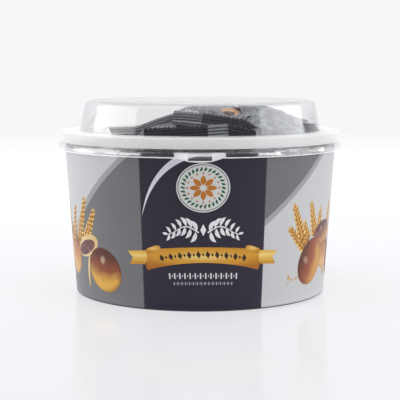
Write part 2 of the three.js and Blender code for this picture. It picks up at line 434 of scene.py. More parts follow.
@dataclass(frozen=True)
class WrapPrint(Finish):
    """The printed wrap: a dark panel, grey fields and a light slanting sash, twice round.

    `first_line` and `last_line` are the sash's edges: the height they are measured from, and
    how far across they stand there, per millimetre up and per square of it.
    """

    centre: float
    per_degree: float
    panel_half: float = 25.84
    first_line: tuple[float, float, float, float] = (52.9, 36.1, 1.304, -0.0023)
    last_line: tuple[float, float, float, float] = (59.9, 179.8, 1.0, 0.0045)
    border: Pair = (4.6, 5.6)
    seam_at: float = 97.0
    lap_edge: float = 1.2
    panel_dark: str = "302c3b"
    panel_light: str = "2f2c38"
    panel_rim: str = "57545f"
    grey_low: str = "77777a"
    grey: str = "747477"
    band: str = "a3a3a5"
    light: str = "cbcbcd"
    seam: str = "8d8d90"
    edge: str = "34333a"

    def line(self, height: Value, sizes: tuple[float, float, float, float]) -> Value:
        """Say how far across one edge of the sash stands.

        Args:
            height: The place's height, in millimetres.
            sizes: The edge's numbers.

        Returns:
            Millimetres across the wrap.
        """
        start, across, slope, bend = sizes
        up = height - start
        return up * slope + up * up * bend + across

    def build(self) -> Material:
        """Build the print from the height and the turn round the tub.

        Returns:
            The material.
        """
        surface = Surface(self.name, IOR=PRINT_IOR, Specular_IOR_Level=0.28)
        place = surface.place()
        x, y, z = surface.parts(place)
        turn = x.angle(y * -1.0) * (180.0 / math.pi) - self.centre
        beside = abs(turn.maths("WRAP", 90.0, -90.0))
        across = turn.maths("WRAP", 180.0, 0.0) * self.per_degree
        height = z / MM
        from_first = across - self.line(height, self.first_line)
        from_last = self.line(height, self.last_line) - across
        inside = from_first.least(from_last)
        cloud = surface.noise(place, 14.0, 3.0)
        grain = surface.noise(place, 900.0, 1.0)
        fall = height.rise(10.0, 92.0)
        colour = surface.blend(fall, self.grey_low, self.grey)
        colour = surface.blend(inside.rise(-0.3, 0.3), colour, self.band)
        colour = surface.blend(inside.rise(*self.border), colour, self.light)
        panel = surface.blend(fall, self.panel_dark, self.panel_light)
        rim = beside.within(self.panel_half - 0.25, self.panel_half + 0.05, 0.08)
        panel = surface.blend(rim, panel, self.panel_rim)
        colour = surface.blend(beside.rise(self.panel_half + 0.1, self.panel_half), colour, panel)
        seam = abs(turn - self.seam_at).rise(0.35, 0.2) * 0.5
        colour = surface.blend(seam, colour, self.seam)
        # the wrap turns dark below lap_edge, on the part that laps round the foot
        lap = height.rise(self.lap_edge + 0.15, self.lap_edge - 0.2)
        colour = surface.blend(lap, colour, self.edge)
        sockets = {0: colour, "Scale": 0.94 + cloud * 0.08 + grain * 0.03}
        toned = surface.value("ShaderNodeVectorMath", sockets, operation="SCALE")
        surface.feed(Base_Color=toned, Roughness=0.3 + cloud * 0.1)
        surface.bump(cloud + grain * 0.1, 0.2, 0.15 * MM)
        return surface.material


@dataclass(frozen=True)
class FloorPaint(Finish):
    """Matt white studio floor that runs out into the white air far from the pack."""

    near: float = 0.5
    far: float = 1.9

    def build(self) -> Material:
        """Build the floor with a faint sheen.

        Returns:
            The material.
        """
        surface = Surface(self.name, IOR=1.1, Emission_Strength=0.6)
        place = surface.place()
        x, y, _ = surface.parts(place)
        surface.clear(((x * x + y * y) ** 0.5).rise(self.far, self.near))
        cloud = surface.noise(place, 1.3, 2.0)
        surface.feed(
            Base_Color=surface.blend(cloud, "7b7c7e", "808183"),
            Emission_Color=surface.blend(cloud, "fafcfe", "fcfdff"),
            Roughness=0.11 + cloud * 0.02,
        )
        return surface.material


@dataclass(frozen=True)
class Ink(Finish):
    """Flat printing ink with a slightly uneven tone."""

    colour: str
    deep: str

    def build(self) -> Material:
        """Build the ink.

        Returns:
            The material.
        """
        surface = Surface(self.name, **INK_GLOSS)
        place = surface.place()
        cloud = surface.noise(place, 60.0, 3.0)
        grain = surface.noise(place, 1500.0, 1.0)
        share = cloud.rise(0.75, 0.25) * 0.5 + grain * 0.12
        surface.feed(
            Base_Color=surface.blend(share, self.colour, self.deep),
            Roughness=0.3 + cloud * 0.08,
        )
        surface.bump(grain, 0.1, INK_RELIEF)
        return surface.material


@dataclass(frozen=True)
class GoldInk(Finish):
    """Gold ribbon ink: lighter along its upper half and in slow waves along its length."""

    dark: str = "a9651a"
    middle: str = "d89a2f"
    bright: str = "f2d07a"
    waves: float = 2.6

    def build(self) -> Material:
        """Build the ink on the piece's own flat pattern, -1 to 1 both ways.

        Returns:
            The material.
        """
        surface = Surface(self.name, IOR=PRINT_IOR, Specular_IOR_Level=0.4)
        across, up = surface.cut()
        cloud = surface.noise(surface.place(), 45.0, 2.0)
        swell = (across * self.waves).cosine() * 0.3 + 0.5
        gleam = (1.0 - abs(up - 0.25) * 1.1).most(0.0) * swell + cloud * 0.2
        low = surface.blend(gleam.rise(0.0, 0.42), self.dark, self.middle)
        surface.feed(
            Base_Color=surface.blend(gleam.rise(0.42, 0.95), low, self.bright),
            Roughness=0.26 + cloud * 0.1,
        )
        surface.bump(cloud, 0.1, INK_RELIEF)
        return surface.material


@dataclass(frozen=True)
class CrustInk(Finish):
    """A printed cookie: brown where it baked darkest, golden on one side, softly lit."""

    golden_side: float
    golden: str
    brown: str
    dark: str
    spark: float
    highlight: str = "f6e2c4"

    def build(self) -> Material:
        """Build the crust on the piece's own flat pattern, -1 to 1 both ways.

        Returns:
            The material.
        """
        surface = Surface(self.name, **INK_GLOSS)
        across, up = surface.cut()
        side = math.radians(self.golden_side)
        toward = across * math.cos(side) + up * math.sin(side)
        athwart = up * math.cos(side) - across * math.sin(side)
        pattern = surface.vector(across, up, 0.0)
        cloud = surface.noise(pattern, 2.2, 4.0)
        speckle = surface.noise(pattern, 14.0, 2.0)
        bake = toward + cloud * 0.5 - 0.25 + athwart * athwart * 0.25
        crust = surface.blend(bake.rise(-0.75, 0.0), self.dark, self.brown)
        crust = surface.blend(bake.rise(-0.05, 0.62), crust, self.golden)
        rim = (across * across + up * up).rise(0.62, 1.05)
        crust = surface.blend(rim * 0.45, crust, self.dark)
        gleam = (toward + 0.45) ** 2 * 14.0 + (athwart + 0.1) ** 2 * 22.0
        shine = (gleam + cloud * 1.2).rise(1.5, 0.3) * self.spark
        crust = surface.blend(shine * 0.5, crust, self.highlight)
        crust = surface.blend(speckle.rise(0.56, 0.72) * 0.25, crust, self.dark)
        surface.feed(Base_Color=crust, Roughness=0.3 + cloud * 0.1)
        surface.bump(cloud, 0.1, INK_RELIEF)
        return surface.material


@dataclass(frozen=True)
class FillingInk(Finish):
    """Printed date filling: dark, reddish and coarse."""

    light: str = "8b5f5c"
    dark: str = "4b2c33"

    def build(self) -> Material:
        """Build the filling's blotches.

        Returns:
            The material.
        """
        surface = Surface(self.name, **INK_GLOSS)
        across, up = surface.cut()
        pattern = surface.vector(across, up * 0.7, 0.0)
        blotch = surface.noise(pattern, 4.5, 4.0)
        fibre = surface.noise(pattern, 19.0, 2.0)
        share = (blotch * 0.75 + fibre * 0.25).rise(0.38, 0.62)
        surface.feed(
            Base_Color=surface.blend(share, self.dark, self.light),
            Roughness=0.32 + blotch * 0.08,
        )
        return surface.material


@dataclass(frozen=True)
class GrainInk(Finish):
    """Printed wheat: a light ridge along each grain and an orange shadow at its sides."""

    light: str = "f8e0a0"
    body: str = "dfa94a"
    shadow: str = "9c6628"

    def build(self) -> Material:
        """Build the grain on its own flat pattern, -1 to 1 both ways.

        Returns:
            The material.
        """
        surface = Surface(self.name, **INK_GLOSS)
        across, up = surface.cut()
        ridge = abs(across + 0.18)
        ribbed = ridge + (across * 9.0 + up).sine() * 0.12
        tucked = ribbed.rise(0.4, 0.95).most(up.rise(0.25, -0.45))
        lit = ribbed.rise(0.45, 0.05) * up.rise(-0.25, 0.35)
        side = surface.blend(tucked, self.body, self.shadow)
        surface.feed(
            Base_Color=surface.blend(lit, side, self.light),
            Roughness=0.32 + ridge * 0.06,
        )
        return surface.material


class Film(Enum):
    """The prints of the packets: ground, sash, deep tone, crimped ends, light panel and slot.

    The deep tone is painted shade, laid into the film's dents and its crimps' ridge valleys.
    """

    DARK = ("33313f", "6f727b", "17161f", "454351", "b0b3b6", "dark_film")
    # painted reflection: dark film with near-white crimps and panel and light dents, as seen under
    # the lid's gleam
    DARK_UNDER_PAINTED_REFLECTION = ("33313f", "6f727b", "5d5e66", "eceded", "f4f4f4", "dark_film")
    SHADED = ("3a3946", "9b9ea5", "1d1c26", "4f4e5a", "b0b3b6", "grey_film")
    GREY = ("83878c", "c3c5ca", "33323c", "85868c", "e2e4e5", "grey_film")
    LIGHT = ("9a9da3", "d5d6da", "5a5a64", "8c8f97", "b0b3b6", "light_film")


@dataclass(frozen=True)
class PacketFilm(Finish):
    """Glossy printed film, crinkled, with a sash, a small cookie picture and rows of marks.
    Its deep tone is painted shade, darkening the crinkles' dents and the crimps' ridge valleys.

    `picture` is the cookie's place and `panel` the part of the crimps that is printed light,
    in units of 50 mm along and across the packet.
    """

    film: Film
    picture: Pair
    panel: Pair
    crimp_root: float = 0.62
    ridge_pitch: float = 2.0

    def with_picture(self, surface: Surface, ground: Value, along: Value, across: Value) -> Value:
        """Print the small broken cookie: a golden crust over a dark filling.

        Args:
            surface: The material's tree.
            ground: The colour round the picture.
            along: The place along the packet.
            across: The place across it.

        Returns:
            The colour with the picture on it.
        """
        fine = surface.noise(surface.vector(along, across, 1.7), 30.0, 2.0)
        x, y = (along - self.picture[0]) / 0.15, (across - self.picture[1]) / 0.12
        wobble = (fine - 0.5) * 0.5
        crust = (x * x + y * y + wobble).rise(1.05, 0.9)
        filling = ((x - 0.5) ** 2 * 2.2 + (y + 0.1) ** 2 * 1.5 + wobble).rise(0.6, 0.45)
        baked = surface.blend(fine.rise(0.35, 0.65), "b98d6c", "dcb491")
        printed = surface.blend(crust, ground, baked)
        return surface.blend(filling * crust, printed, "3d2620")

    def build(self) -> Material:
        """Build the film on the packet's own flat pattern, in units of 50 mm.

        Returns:
            The material.
        """
        surface = Surface(self.name, IOR=1.5, Specular_IOR_Level=0.55)
        ground, sash, deep, crimp, light = self.film.value[:-1]
        along, across = surface.cut()
        pattern = surface.vector(along, across, 0.0)
        crinkle = surface.noise(pattern, 9.0, 4.0)
        fine = surface.noise(pattern, 42.0, 2.0)
        slant = across - along * 0.55 + (crinkle - 0.5) * 0.02
        stripe = slant.within(0.2, 0.36, 0.008) + slant.within(-0.62, -0.5, 0.008)
        colour = surface.blend(stripe.least(1.0), ground, sash)
        # painted shade: the deep tone darkens the film where its crinkle bump dips
        colour = surface.blend(crinkle.rise(0.62, 0.38) * 0.55, colour, deep)
        colour = self.with_picture(surface, colour, along, across)
        tick = (along * 150.0).sine() * (along * 37.0).sine()
        rows = across.within(0.08, 0.12, 0.006) + across.within(-0.02, 0.005, 0.004)
        marks = tick.rise(0.0, 0.25) * rows * along.within(-0.46, -0.04, 0.01)
        colour = surface.blend(marks * 0.85, colour, "c9ced8")
        tone = surface.blend(across.within(*self.panel, 0.006), crimp, light)
        past = (abs(along) - self.crimp_root) * (PATTERN_UNIT / self.ridge_pitch) + 0.5
        ridge = abs(past.maths("FRACT") * 2.0 - 1.0)
        # painted shade: the deep tone darkens the valleys between the crimp's ridges
        tone = surface.blend(ridge.rise(0.45, 0.12) * 0.85, tone, deep)
        root = self.crimp_root
        colour = surface.blend(abs(along).rise(root - 0.005, root + 0.005), colour, tone)
        surface.feed(Base_Color=colour, Roughness=0.2 + fine * 0.16)
        surface.bump(crinkle + fine * 0.25, 0.5, 0.5 * MM)
        return surface.material


# ---------- Geometry Nodes ----------


class GeometryTree(NodeMaker):
    """A Geometry Nodes tree with named inputs, ending in real faces with a finish."""

    def __init__(self, name: str, whole: Sequence[str], lengths: Sequence[str]) -> None:
        """Start a tree.

        Args:
            name: What the tree does.
            whole: Its inputs that are whole numbers.
            lengths: Its inputs that are lengths, turns or shares.
        """
        super().__init__(bpy.data.node_groups.new(name, "GeometryNodeTree"))
        face = self.tree.interface
        kinds = [(n, "Int") for n in whole] + [(n, "Float") for n in lengths]
        for title, kind in (("Geometry", "Geometry"), *kinds, ("Finish", "Material")):
            face.new_socket(title, in_out="INPUT", socket_type=f"NodeSocket{kind}")
        face.new_socket("Geometry", in_out="OUTPUT", socket_type="NodeSocketGeometry")
        self.given = self.add("NodeGroupInput")

    def input(self, name: str) -> Value:
        """Give one of the tree's own inputs."""
        return Value(self, self.given.outputs[name])

    def position(self) -> tuple[Value, Value, Value]:
        """Give the three numbers of each point's place."""
        return self.parts(self.value("GeometryNodeInputPosition"))

    def line(self, x: Value | float = 0.0, y: Value | float = 0.0) -> Value:
        """Make a line of Count points, each x and y past the last."""
        sockets = {"Count": self.input("Count"), "Offset": self.vector(x, y, 0.0)}
        return self.value("GeometryNodeMeshLine", sockets, mode="OFFSET")

    def circle(self) -> Value:
        """Make a circle of Count points."""
        sockets = {"Vertices": self.input("Count"), "Radius": self.input("Radius")}
        return self.value("GeometryNodeMeshCircle", sockets, fill_type="NONE")

    def chance(self, offset: float, low: float, high: float) -> Value:
        """Give each point a random number.

        Args:
            offset: A number added to the seed, to tell the draws apart.
            low: The least it may be.
            high: The most it may be.

        Returns:
            The number.
        """
        sockets = {2: low, 3: high, "Seed": self.input("Seed") + offset}
        return self.value("FunctionNodeRandomValue", sockets, 1, data_type="FLOAT")

    def moved(self, geometry: Value, place: Value) -> Value:
        """Set a geometry's points at new places."""
        sockets = {"Geometry": geometry, "Position": place}
        return self.value("GeometryNodeSetPosition", sockets)

    def around(self, radius: Value, turn: Value, height: Value) -> Value:
        """Give a place at a radius, turned from the front to the right, at a height."""
        return self.vector(radius * turn.sine(), radius * turn.cosine() * -1.0, height)

    def copies(self, points: Value, rotation: Value, size: Value | float = 1.0) -> Value:
        """Set the tree's start mesh on points.

        Args:
            points: The points.
            rotation: How each copy is turned, in radians.
            size: Each copy's size across and up, as a share.

        Returns:
            The copies.
        """
        sockets = {
            "Points": points,
            "Instance": self.input("Geometry"),
            "Rotation": rotation,
            "Scale": self.vector(size, size, 1.0),
        }
        return self.value("GeometryNodeInstanceOnPoints", sockets)

    def close(self, geometry: Value) -> NodeTree:
        """End the tree: make instances real and set the finish.

        Args:
            geometry: What the tree has made.

        Returns:
            The tree.
        """
        real = self.value("GeometryNodeRealizeInstances", {0: geometry})
        sockets = {"Geometry": real, "Material": self.input("Finish")}
        dressed = self.value("GeometryNodeSetMaterial", sockets)
        self.add("NodeGroupOutput", {0: dressed})
        return self.tree


def shape_with_tree(name: str, start: Mesh, tree: NodeTree, inputs: dict, finish: Finish) -> Mesh:
    """Run a Geometry Nodes tree over a mesh and give the plain mesh that comes out.

    Args:
        name: The new mesh's name.
        start: The mesh that the tree starts from.
        tree: The tree.
        inputs: Values of its named inputs.
        finish: The finish it sets.

    Returns:
        The result as a plain mesh.
    """
    carrier = new_object(f"{name}_carrier", start)
    modifier = carrier.modifiers.new("shape", "NODES")
    modifier.node_group = tree
    given = {**inputs, "Finish": finish.material()}
    for item in tree.interface.items_tree:
        if item.in_out == "INPUT" and item.name in given:
            modifier[item.identifier] = given[item.name]
    depsgraph = bpy.context.evaluated_depsgraph_get()
    depsgraph.update()
    made = bpy.data.meshes.new_from_object(
        carrier.evaluated_get(depsgraph), preserve_all_data_layers=True, depsgraph=depsgraph
    )
    made.name = name
    carrier.modifiers.clear()
    bpy.data.objects.remove(carrier)
    return made


@cache
def turning_tree() -> NodeTree:
    """Make the tree that turns a chain of profile points into a shell.

    Returns:
        A tree whose start mesh holds the profile's points, X as radius and Z as height.
    """
    tree = GeometryTree("Turn a profile", ("Segments", "Points"), ())
    points = tree.input("Points")
    sockets = {
        "Size X": 1.0,
        "Size Y": 1.0,
        "Vertices X": tree.input("Segments") + 1.0,
        "Vertices Y": points,
    }
    grid = tree.value("GeometryNodeMeshGrid", sockets)
    x, y, _ = tree.position()
    sockets = {
        "Geometry": tree.input("Geometry"),
        "Value": tree.value("GeometryNodeInputPosition"),
        "Index": ((y + 0.5) * (points - 1.0)).maths("ROUND"),
    }
    sampled = tree.value("GeometryNodeSampleIndex", sockets, data_type="FLOAT_VECTOR")
    radius, _, height = tree.parts(sampled)
    place = tree.around(radius, (x + 0.5) * (2 * math.pi), height)
    sockets = {"Geometry": tree.moved(grid, place), "Distance": WELD}
    return tree.close(tree.value("GeometryNodeMergeByDistance", sockets))


# ---------- pieces ----------


def point_mesh(name: str, points: Iterable[Sequence[float]]) -> Mesh:
    """Make a mesh of loose points, given in millimetres."""
    mesh = bpy.data.meshes.new(name)
    mesh.from_pydata([[c * MM for c in p] for p in points], [], [])
    return mesh


def closed_sheets(name: str, sheets: np.ndarray) -> Mesh:
    """Join two sheets all round their edges into one closed mesh.

    Args:
        name: The mesh's name.
        sheets: Two grids of places, in millimetres.

    Returns:
        The mesh.
    """
    rows, columns = sheets.shape[1:3]
    number = np.arange(rows * columns).reshape(rows, columns)
    a, b = number[:-1, :-1].ravel(), number[1:, :-1].ravel()
    c, d = number[1:, 1:].ravel(), number[:-1, 1:].ravel()
    under = rows * columns
    sides = (number[:-1, 0], number[-1, :-1], number[:0:-1, -1], number[0, :0:-1])
    ring = np.concatenate(sides)
    after = np.roll(ring, -1)
    quads = (
        (a, b, c, d),
        (d + under, c + under, b + under, a + under),
        (after, ring, ring + under, after + under),
    )
    faces = np.concatenate([np.stack(quad, 1) for quad in quads])
    made = bpy.data.meshes.new(name)
    made.from_pydata((sheets.reshape(-1, 3) * MM).tolist(), [], faces.tolist())
    return made


def new_object(name: str, data: bpy.types.ID) -> bpy.types.Object:
    """Put an object into the scene.

    Args:
        name: Its name.
        data: Its mesh, light or camera.

    Returns:
        The object.
    """
    made = bpy.data.objects.new(name, data)
    bpy.context.scene.collection.objects.link(made)
    return made


def mended(mesh: Mesh, crease: float = 35.0) -> Mesh:
    """Close a mesh's seams, point its faces outwards and smooth all but its sharp edges.

    Args:
        mesh: The mesh, changed in place.
        crease: Edges that bend more than this many degrees stay sharp.

    Returns:
        The same mesh.
    """
    work = bmesh.new()
    work.from_mesh(mesh)
    bmesh.ops.remove_doubles(work, verts=work.verts, dist=WELD)
    bmesh.ops.dissolve_degenerate(work, edges=work.edges, dist=WELD / 4)
    bmesh.ops.recalc_face_normals(work, faces=work.faces)
    for face in work.faces:
        face.smooth = True
    work.to_mesh(mesh)
    work.free()
    mesh.set_sharp_from_angle(angle=math.radians(crease))
    return mesh


def piece(name: str, mesh: Mesh, slot: str, *nodes: str, finish: Finish | None = None) -> None:
    """Put a finished mesh into the scene as a piece of the pack.

    Args:
        name: The piece's name.
        mesh: Its mesh, already in place.
        slot: The name of the material slot that it belongs to, which is only logged.
        nodes: The CAD nodes that it stands for.
        finish: Its finish, where the mesh doesn't carry one yet.
    """
    if finish is not None:
        mesh.materials.clear()
        mesh.materials.append(finish.material())
    mesh.name = name
    made = new_object(name, mesh)
    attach(made, "root")
    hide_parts(*nodes)
    log.info("%s: %d faces, slot %s", name, len(mesh.polygons), slot)


@dataclass
class Wall:
    """The cone of the printed wall, read off the label's own node."""

    low: float = field(init=False)
    high: float = field(init=False)
    base_radius: float = field(init=False)
    flare: float = field(init=False)

    def __post_init__(self) -> None:
        """Measure the cone from the label's lowest and highest rings."""
        places = np.array([v.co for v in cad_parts["label"].data.vertices]) / MM
        heights = places[:, 2]
        radii = np.hypot(places[:, 0], places[:, 1])
        self.low, self.high = float(heights.min()), float(heights.max())
        narrow = float(radii[heights < self.low + 0.1].max())
        wide = float(radii[heights > self.high - 0.1].max())
        self.flare = (wide - narrow) / (self.high - self.low)
        self.base_radius = narrow - self.flare * self.low

    def radius(self, height: float) -> float:
        """Give the wall's outside radius at a height, both in millimetres."""
        return self.base_radius + self.flare * height

    @property
    def middle_radius(self) -> float:
        """Give the radius at which the print's widths are true."""
        return self.radius((self.low + self.high) / 2)


@dataclass
class Shell:
    """Something turned from a profile."""

    wall: Wall
    segments: int = 192

    def turned(self, name: str, profile: list[Pair], finish: Finish) -> Mesh:
        """Turn a profile into a closed shell.

        Args:
            name: The shell's name.
            profile: Pairs of radius and height, in millimetres.
            finish: Its finish.

        Returns:
            The shell.
        """
        start = point_mesh(f"{name}_profile", [(r, 0.0, z) for r, z in profile])
        inputs = {"Segments": self.segments, "Points": len(profile)}
        return mended(shape_with_tree(name, start, turning_tree(), inputs, finish))


@dataclass
class Tub(Shell):
    """The clear tub: foot, wall, flange, tamper skirt and the bead that the lid sits on."""

    wall_thick: float = 1.1
    label_recess: float = 0.65
    floor_thick: float = 1.3
    foot_round: float = 2.2
    groove: Pair = (62.0, 70.0)
    flange_under: float = 93.6
    flange_top: float = 95.9
    skirt_bottom: float = 91.2
    skirt_thick: float = 0.8
    bead: Pair = (84.3, 86.1)
    bead_top: float = 101.8

    def __post_init__(self) -> None:
        """Read the widest ring off the tub's own node."""
        self.rim_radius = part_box("tub")[1].x / MM

    def profile(self) -> list[Pair]:
        """List the wall's profile, outside first and then back along the inside.

        Returns:
            Pairs of radius and height, in millimetres.
        """
        recess = self.label_recess
        outer = self.wall.radius
        inner = lambda z: outer(z) - recess - self.wall_thick
        foot = outer(self.foot_round)
        within = self.foot_round - self.floor_thick
        rim, low, high = self.rim_radius, *self.groove
        skirt = rim - self.skirt_thick
        under, top = self.flange_under, self.flange_top
        bead_in, bead_out = self.bead
        return [
            (0.0, 0.0),
            (low, 0.0),
            *arc((low + 1.0, 0.0), 0.8, 160, 90, 4),
            *arc((high - 1.0, 0.0), 0.8, 90, 20, 4),
            (high, 0.0),
            *arc((foot - self.foot_round, self.foot_round), self.foot_round, -90, 0, 10),
            (foot - recess, self.foot_round + 0.02),
            (outer(under) - recess, under),
            (outer(under) + 0.4, under + 0.9),
            (skirt - 0.9, under + 0.9),
            (skirt - 0.35, under + 0.4),
            (skirt, self.skirt_bottom + 0.2),
            *arc((rim - self.skirt_thick / 2, self.skirt_bottom + 0.4), 0.4, -180, 0, 6),
            (rim - 0.25, top - 2.4),
            *arc((rim - 1.6, top - 1.1), 1.1, 10, 90, 5),
            (bead_out + 0.5, top),
            *arc((bead_out + 0.5, top + 0.5), 0.5, -90, -180, 3),
            *arc((bead_out - 0.6, self.bead_top - 0.6), 0.6, 0, 90, 5),
            *arc((bead_in + 0.5, self.bead_top - 0.5), 0.5, 90, 180, 5),
            (bead_in, top + 1.0),
            (inner(under), under),
            *arc((inner(self.foot_round) - within, self.foot_round), within, 0, -90, 6),
            (0.0, self.floor_thick),
        ]

    def build(self, finish: Finish) -> None:
        """Build the tub."""
        piece("clear_tub", self.turned("clear_tub", self.profile(), finish), "clear_tub", "tub")


@dataclass
class TearTab:
    """The hollow tear tab on the front of the skirt."""

    back_half: float = 14.9
    front_half: float = 6.4
    back_y: float = -88.2
    top_back: float = 94.9
    top_front: float = 93.0
    edge_side: float = 91.9
    edge_middle: float = 89.5
    corner: float = 1.6
    wall_thick: float = 0.6
    columns: int = 28
    rows: int = 6
    plate: tuple[Pair, ...] = ((0.93, 0.5), (0.9, 0.0))

    def __post_init__(self) -> None:
        """Read how far the tab stands out off the tub's own node."""
        self.front_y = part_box("tub")[0].y / MM

    def outline(self, inset: float) -> list[Pair]:
        """List the tab's three free sides from above, left to right, with rounded corners.

        Args:
            inset: How far inside the outer walls, in millimetres.

        Returns:
            The outline's corners.
        """
        back, front = self.back_half - inset, self.front_half - inset * 0.4
        reach = self.front_y + inset
        corner = self.corner
        side = math.atan2(self.back_y - reach, back - front)
        left = [
            (-back, self.back_y),
            (-front - corner * math.cos(side), reach + corner * math.sin(side)),
            (-front - side / 2 * corner * 0.4, reach + corner * 0.17),
            (-front + corner * 0.7, reach),
        ]
        return left + mirrored(left)

    def along(self, inset: float, share: float) -> Pair:
        """Give the point a share of the way along the tab's free sides.

        Args:
            inset: How far inside the outer walls, in millimetres.
            share: The share, from 0 on the left to 1 on the right.

        Returns:
            The point from above.
        """
        points = self.outline(inset)
        lengths = [math.dist(a, b) for a, b in zip(points, points[1:])]
        left = share * sum(lengths)
        for start, end, length in zip(points, points[1:], lengths):
            if left <= length:
                return tuple(a + (b - a) * left / length for a, b in zip(start, end))
            left -= length
        return points[-1]

    def top(self, y: float) -> float:
        """Give the height of the sloping top plate."""
        out = (y - self.back_y) / (self.front_y - self.back_y)
        return self.top_back + (self.top_front - self.top_back) * out

    def edge(self, x: float) -> float:
        """Give the height of the lower edge, which dips towards the middle."""
        dip = 1 - (x / self.back_half) ** 2
        return self.edge_side + (self.edge_middle - self.edge_side) * dip

    def column(self, inset: float, share: float) -> list[tuple[float, float, float]]:
        """List the places from the lower edge up and then back over the top plate.

        Args:
            inset: How far inside the outer walls, in millimetres.
            share: How far along the free sides the column stands.

        Returns:
            The places.
        """
        x, y = self.along(inset, share)
        low, high = self.edge(x), self.top(y) - inset
        wall = [(x, y, low + (high - low) * j / self.rows) for j in range(self.rows + 1)]
        plate = [(x * wide, self.back_y + (y - self.back_y) * out) for wide, out in self.plate]
        return wall + [(px, py, self.top(py) - inset) for px, py in plate]

    def build(self, finish: Finish) -> None:
        """Build the tab's walls and top as one closed shell.

        Args:
            finish: Its plastic.
        """
        shares = [i / self.columns for i in range(self.columns + 1)]
        insets = (0.0, self.wall_thick)
        sheets = np.array([[self.column(inset, share) for share in shares] for inset in insets])
        mesh = closed_sheets("tear_tab", sheets)
        piece("tear_tab", mended(mesh, 28.0), "clear_tub", "tub", finish=finish)


@dataclass
class Lid(Shell):
    """The clear lid: skirt, flange, plug ring, dome and stacking ring."""

    thick: float = 0.8
    skirt_bottom: float = 96.3
    skirt_radius: float = 88.0
    flange_top: float = 102.9
    plug_outer: float = 83.3
    plug_bottom: float = 97.8
    foot_radius: float = 76.6
    wall_top_radius: float = 73.4
    dome_round: float = 3.4
    ring_radius: float = 68.6
    ring_depth: float = 0.6

    def profile(self) -> list[Pair]:
        """List the lid's profile, inside first and then back along the outside.

        Returns:
            Pairs of radius and height, in millimetres.
        """
        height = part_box("lid")[1].z / MM
        thick, ring, foot, skirt = self.thick, self.ring_radius, self.foot_radius, self.skirt_radius
        shoulder = (self.wall_top_radius - self.dome_round, height - self.dome_round)
        flange, under, top = self.flange_top, self.flange_top - thick, height - self.ring_depth
        skirt_in, plug_in = skirt - thick, self.plug_outer - thick
        return [
            (0.0, top - thick),
            (ring - 1.4, top - thick),
            (ring - 0.8, top - thick + 0.12),
            (ring - 0.2, height - thick),
            *arc(shoulder, self.dome_round - thick, 88, 6, 6),
            (foot - thick - 0.1, under + 1.4),
            (foot - 0.5, under),
            (plug_in - 0.5, under),
            (plug_in, under - 0.5),
            *arc((plug_in + thick / 2, self.plug_bottom + 0.4), 0.4, 180, 360, 5),
            (self.plug_outer, under - 0.4),
            (self.plug_outer + 0.4, under),
            (skirt_in - 0.5, under),
            (skirt_in, under - 0.5),
            *arc((skirt - 0.4, self.skirt_bottom + 0.4), 0.4, 180, 360, 5),
            (skirt - 0.2, flange - 1.5),
            *arc((skirt - 1.3, flange - 1.1), 1.1, 5, 90, 6),
            (foot + 1.0, flange),
            *arc((foot + 0.8, flange + 1.0), 1.0, -90, -168, 5),
            *arc(shoulder, self.dome_round, 12, 90, 9),
            (ring + 0.5, height),
            (ring - 0.3, height - 0.15),
            (ring - 0.9, top + 0.12),
            (ring - 1.5, top),
            (0.0, top),
        ]

    def build(self, finish: Finish) -> None:
        """Build the lid."""
        piece("clear_lid", self.turned("clear_lid", self.profile(), finish), "clear_lid", "lid")


@dataclass
class Label(Shell):
    """The printed wrap: a thin sleeve in the wall's recess that laps round the tub's foot."""

    thick: float = 0.35
    steps: int = 12
    foot_round: float = 2.2
    lap: float = 50.0
    lap_under: float = 0.03
    lap_over: float = 0.14

    def build(self, finish: Finish) -> None:
        """Build the sleeve.

        Args:
            finish: The print on it.
        """
        low, high = self.wall.low, self.wall.high
        heights = [low + (high - low) * i / self.steps for i in range(self.steps + 1)]
        outside = [(self.wall.radius(z), z) for z in heights]
        inside = [(r - self.thick, z) for r, z in reversed(outside)]
        turn = (self.wall.radius(self.foot_round) - self.foot_round, self.foot_round)
        under = arc(turn, self.foot_round + self.lap_under, 0, -self.lap, 6)
        over = arc(turn, self.foot_round + self.lap_over, -self.lap, 0, 6)
        profile = [under[-1], *over, *outside, *inside, *under]
        sleeve = self.turned("printed_wrap", profile, finish)
        piece("printed_wrap", sleeve, "printed_label", "label")


# ---------- studio ----------


@dataclass(frozen=True)
class Softbox:
    """A rectangular soft light that faces the pack; one that gleams is only seen in gloss."""

    name: str
    place: tuple[float, float, float]
    size: Pair
    power: float
    gleam: bool = False

    def build(self) -> None:
        """Hang the light."""
        lamp = bpy.data.lights.new(self.name, "AREA")
        lamp.shape = "RECTANGLE"
        lamp.size, lamp.size_y = self.size
        lamp.energy = self.power
        hung = new_object(self.name, lamp)
        hung.location = self.place
        aim = Vector((0, 0, 0.06)) - Vector(self.place)
        hung.rotation_euler = aim.to_track_quat("-Z", "Y").to_euler()
        hung.visible_diffuse = not self.gleam
        hung.visible_glossy = self.gleam


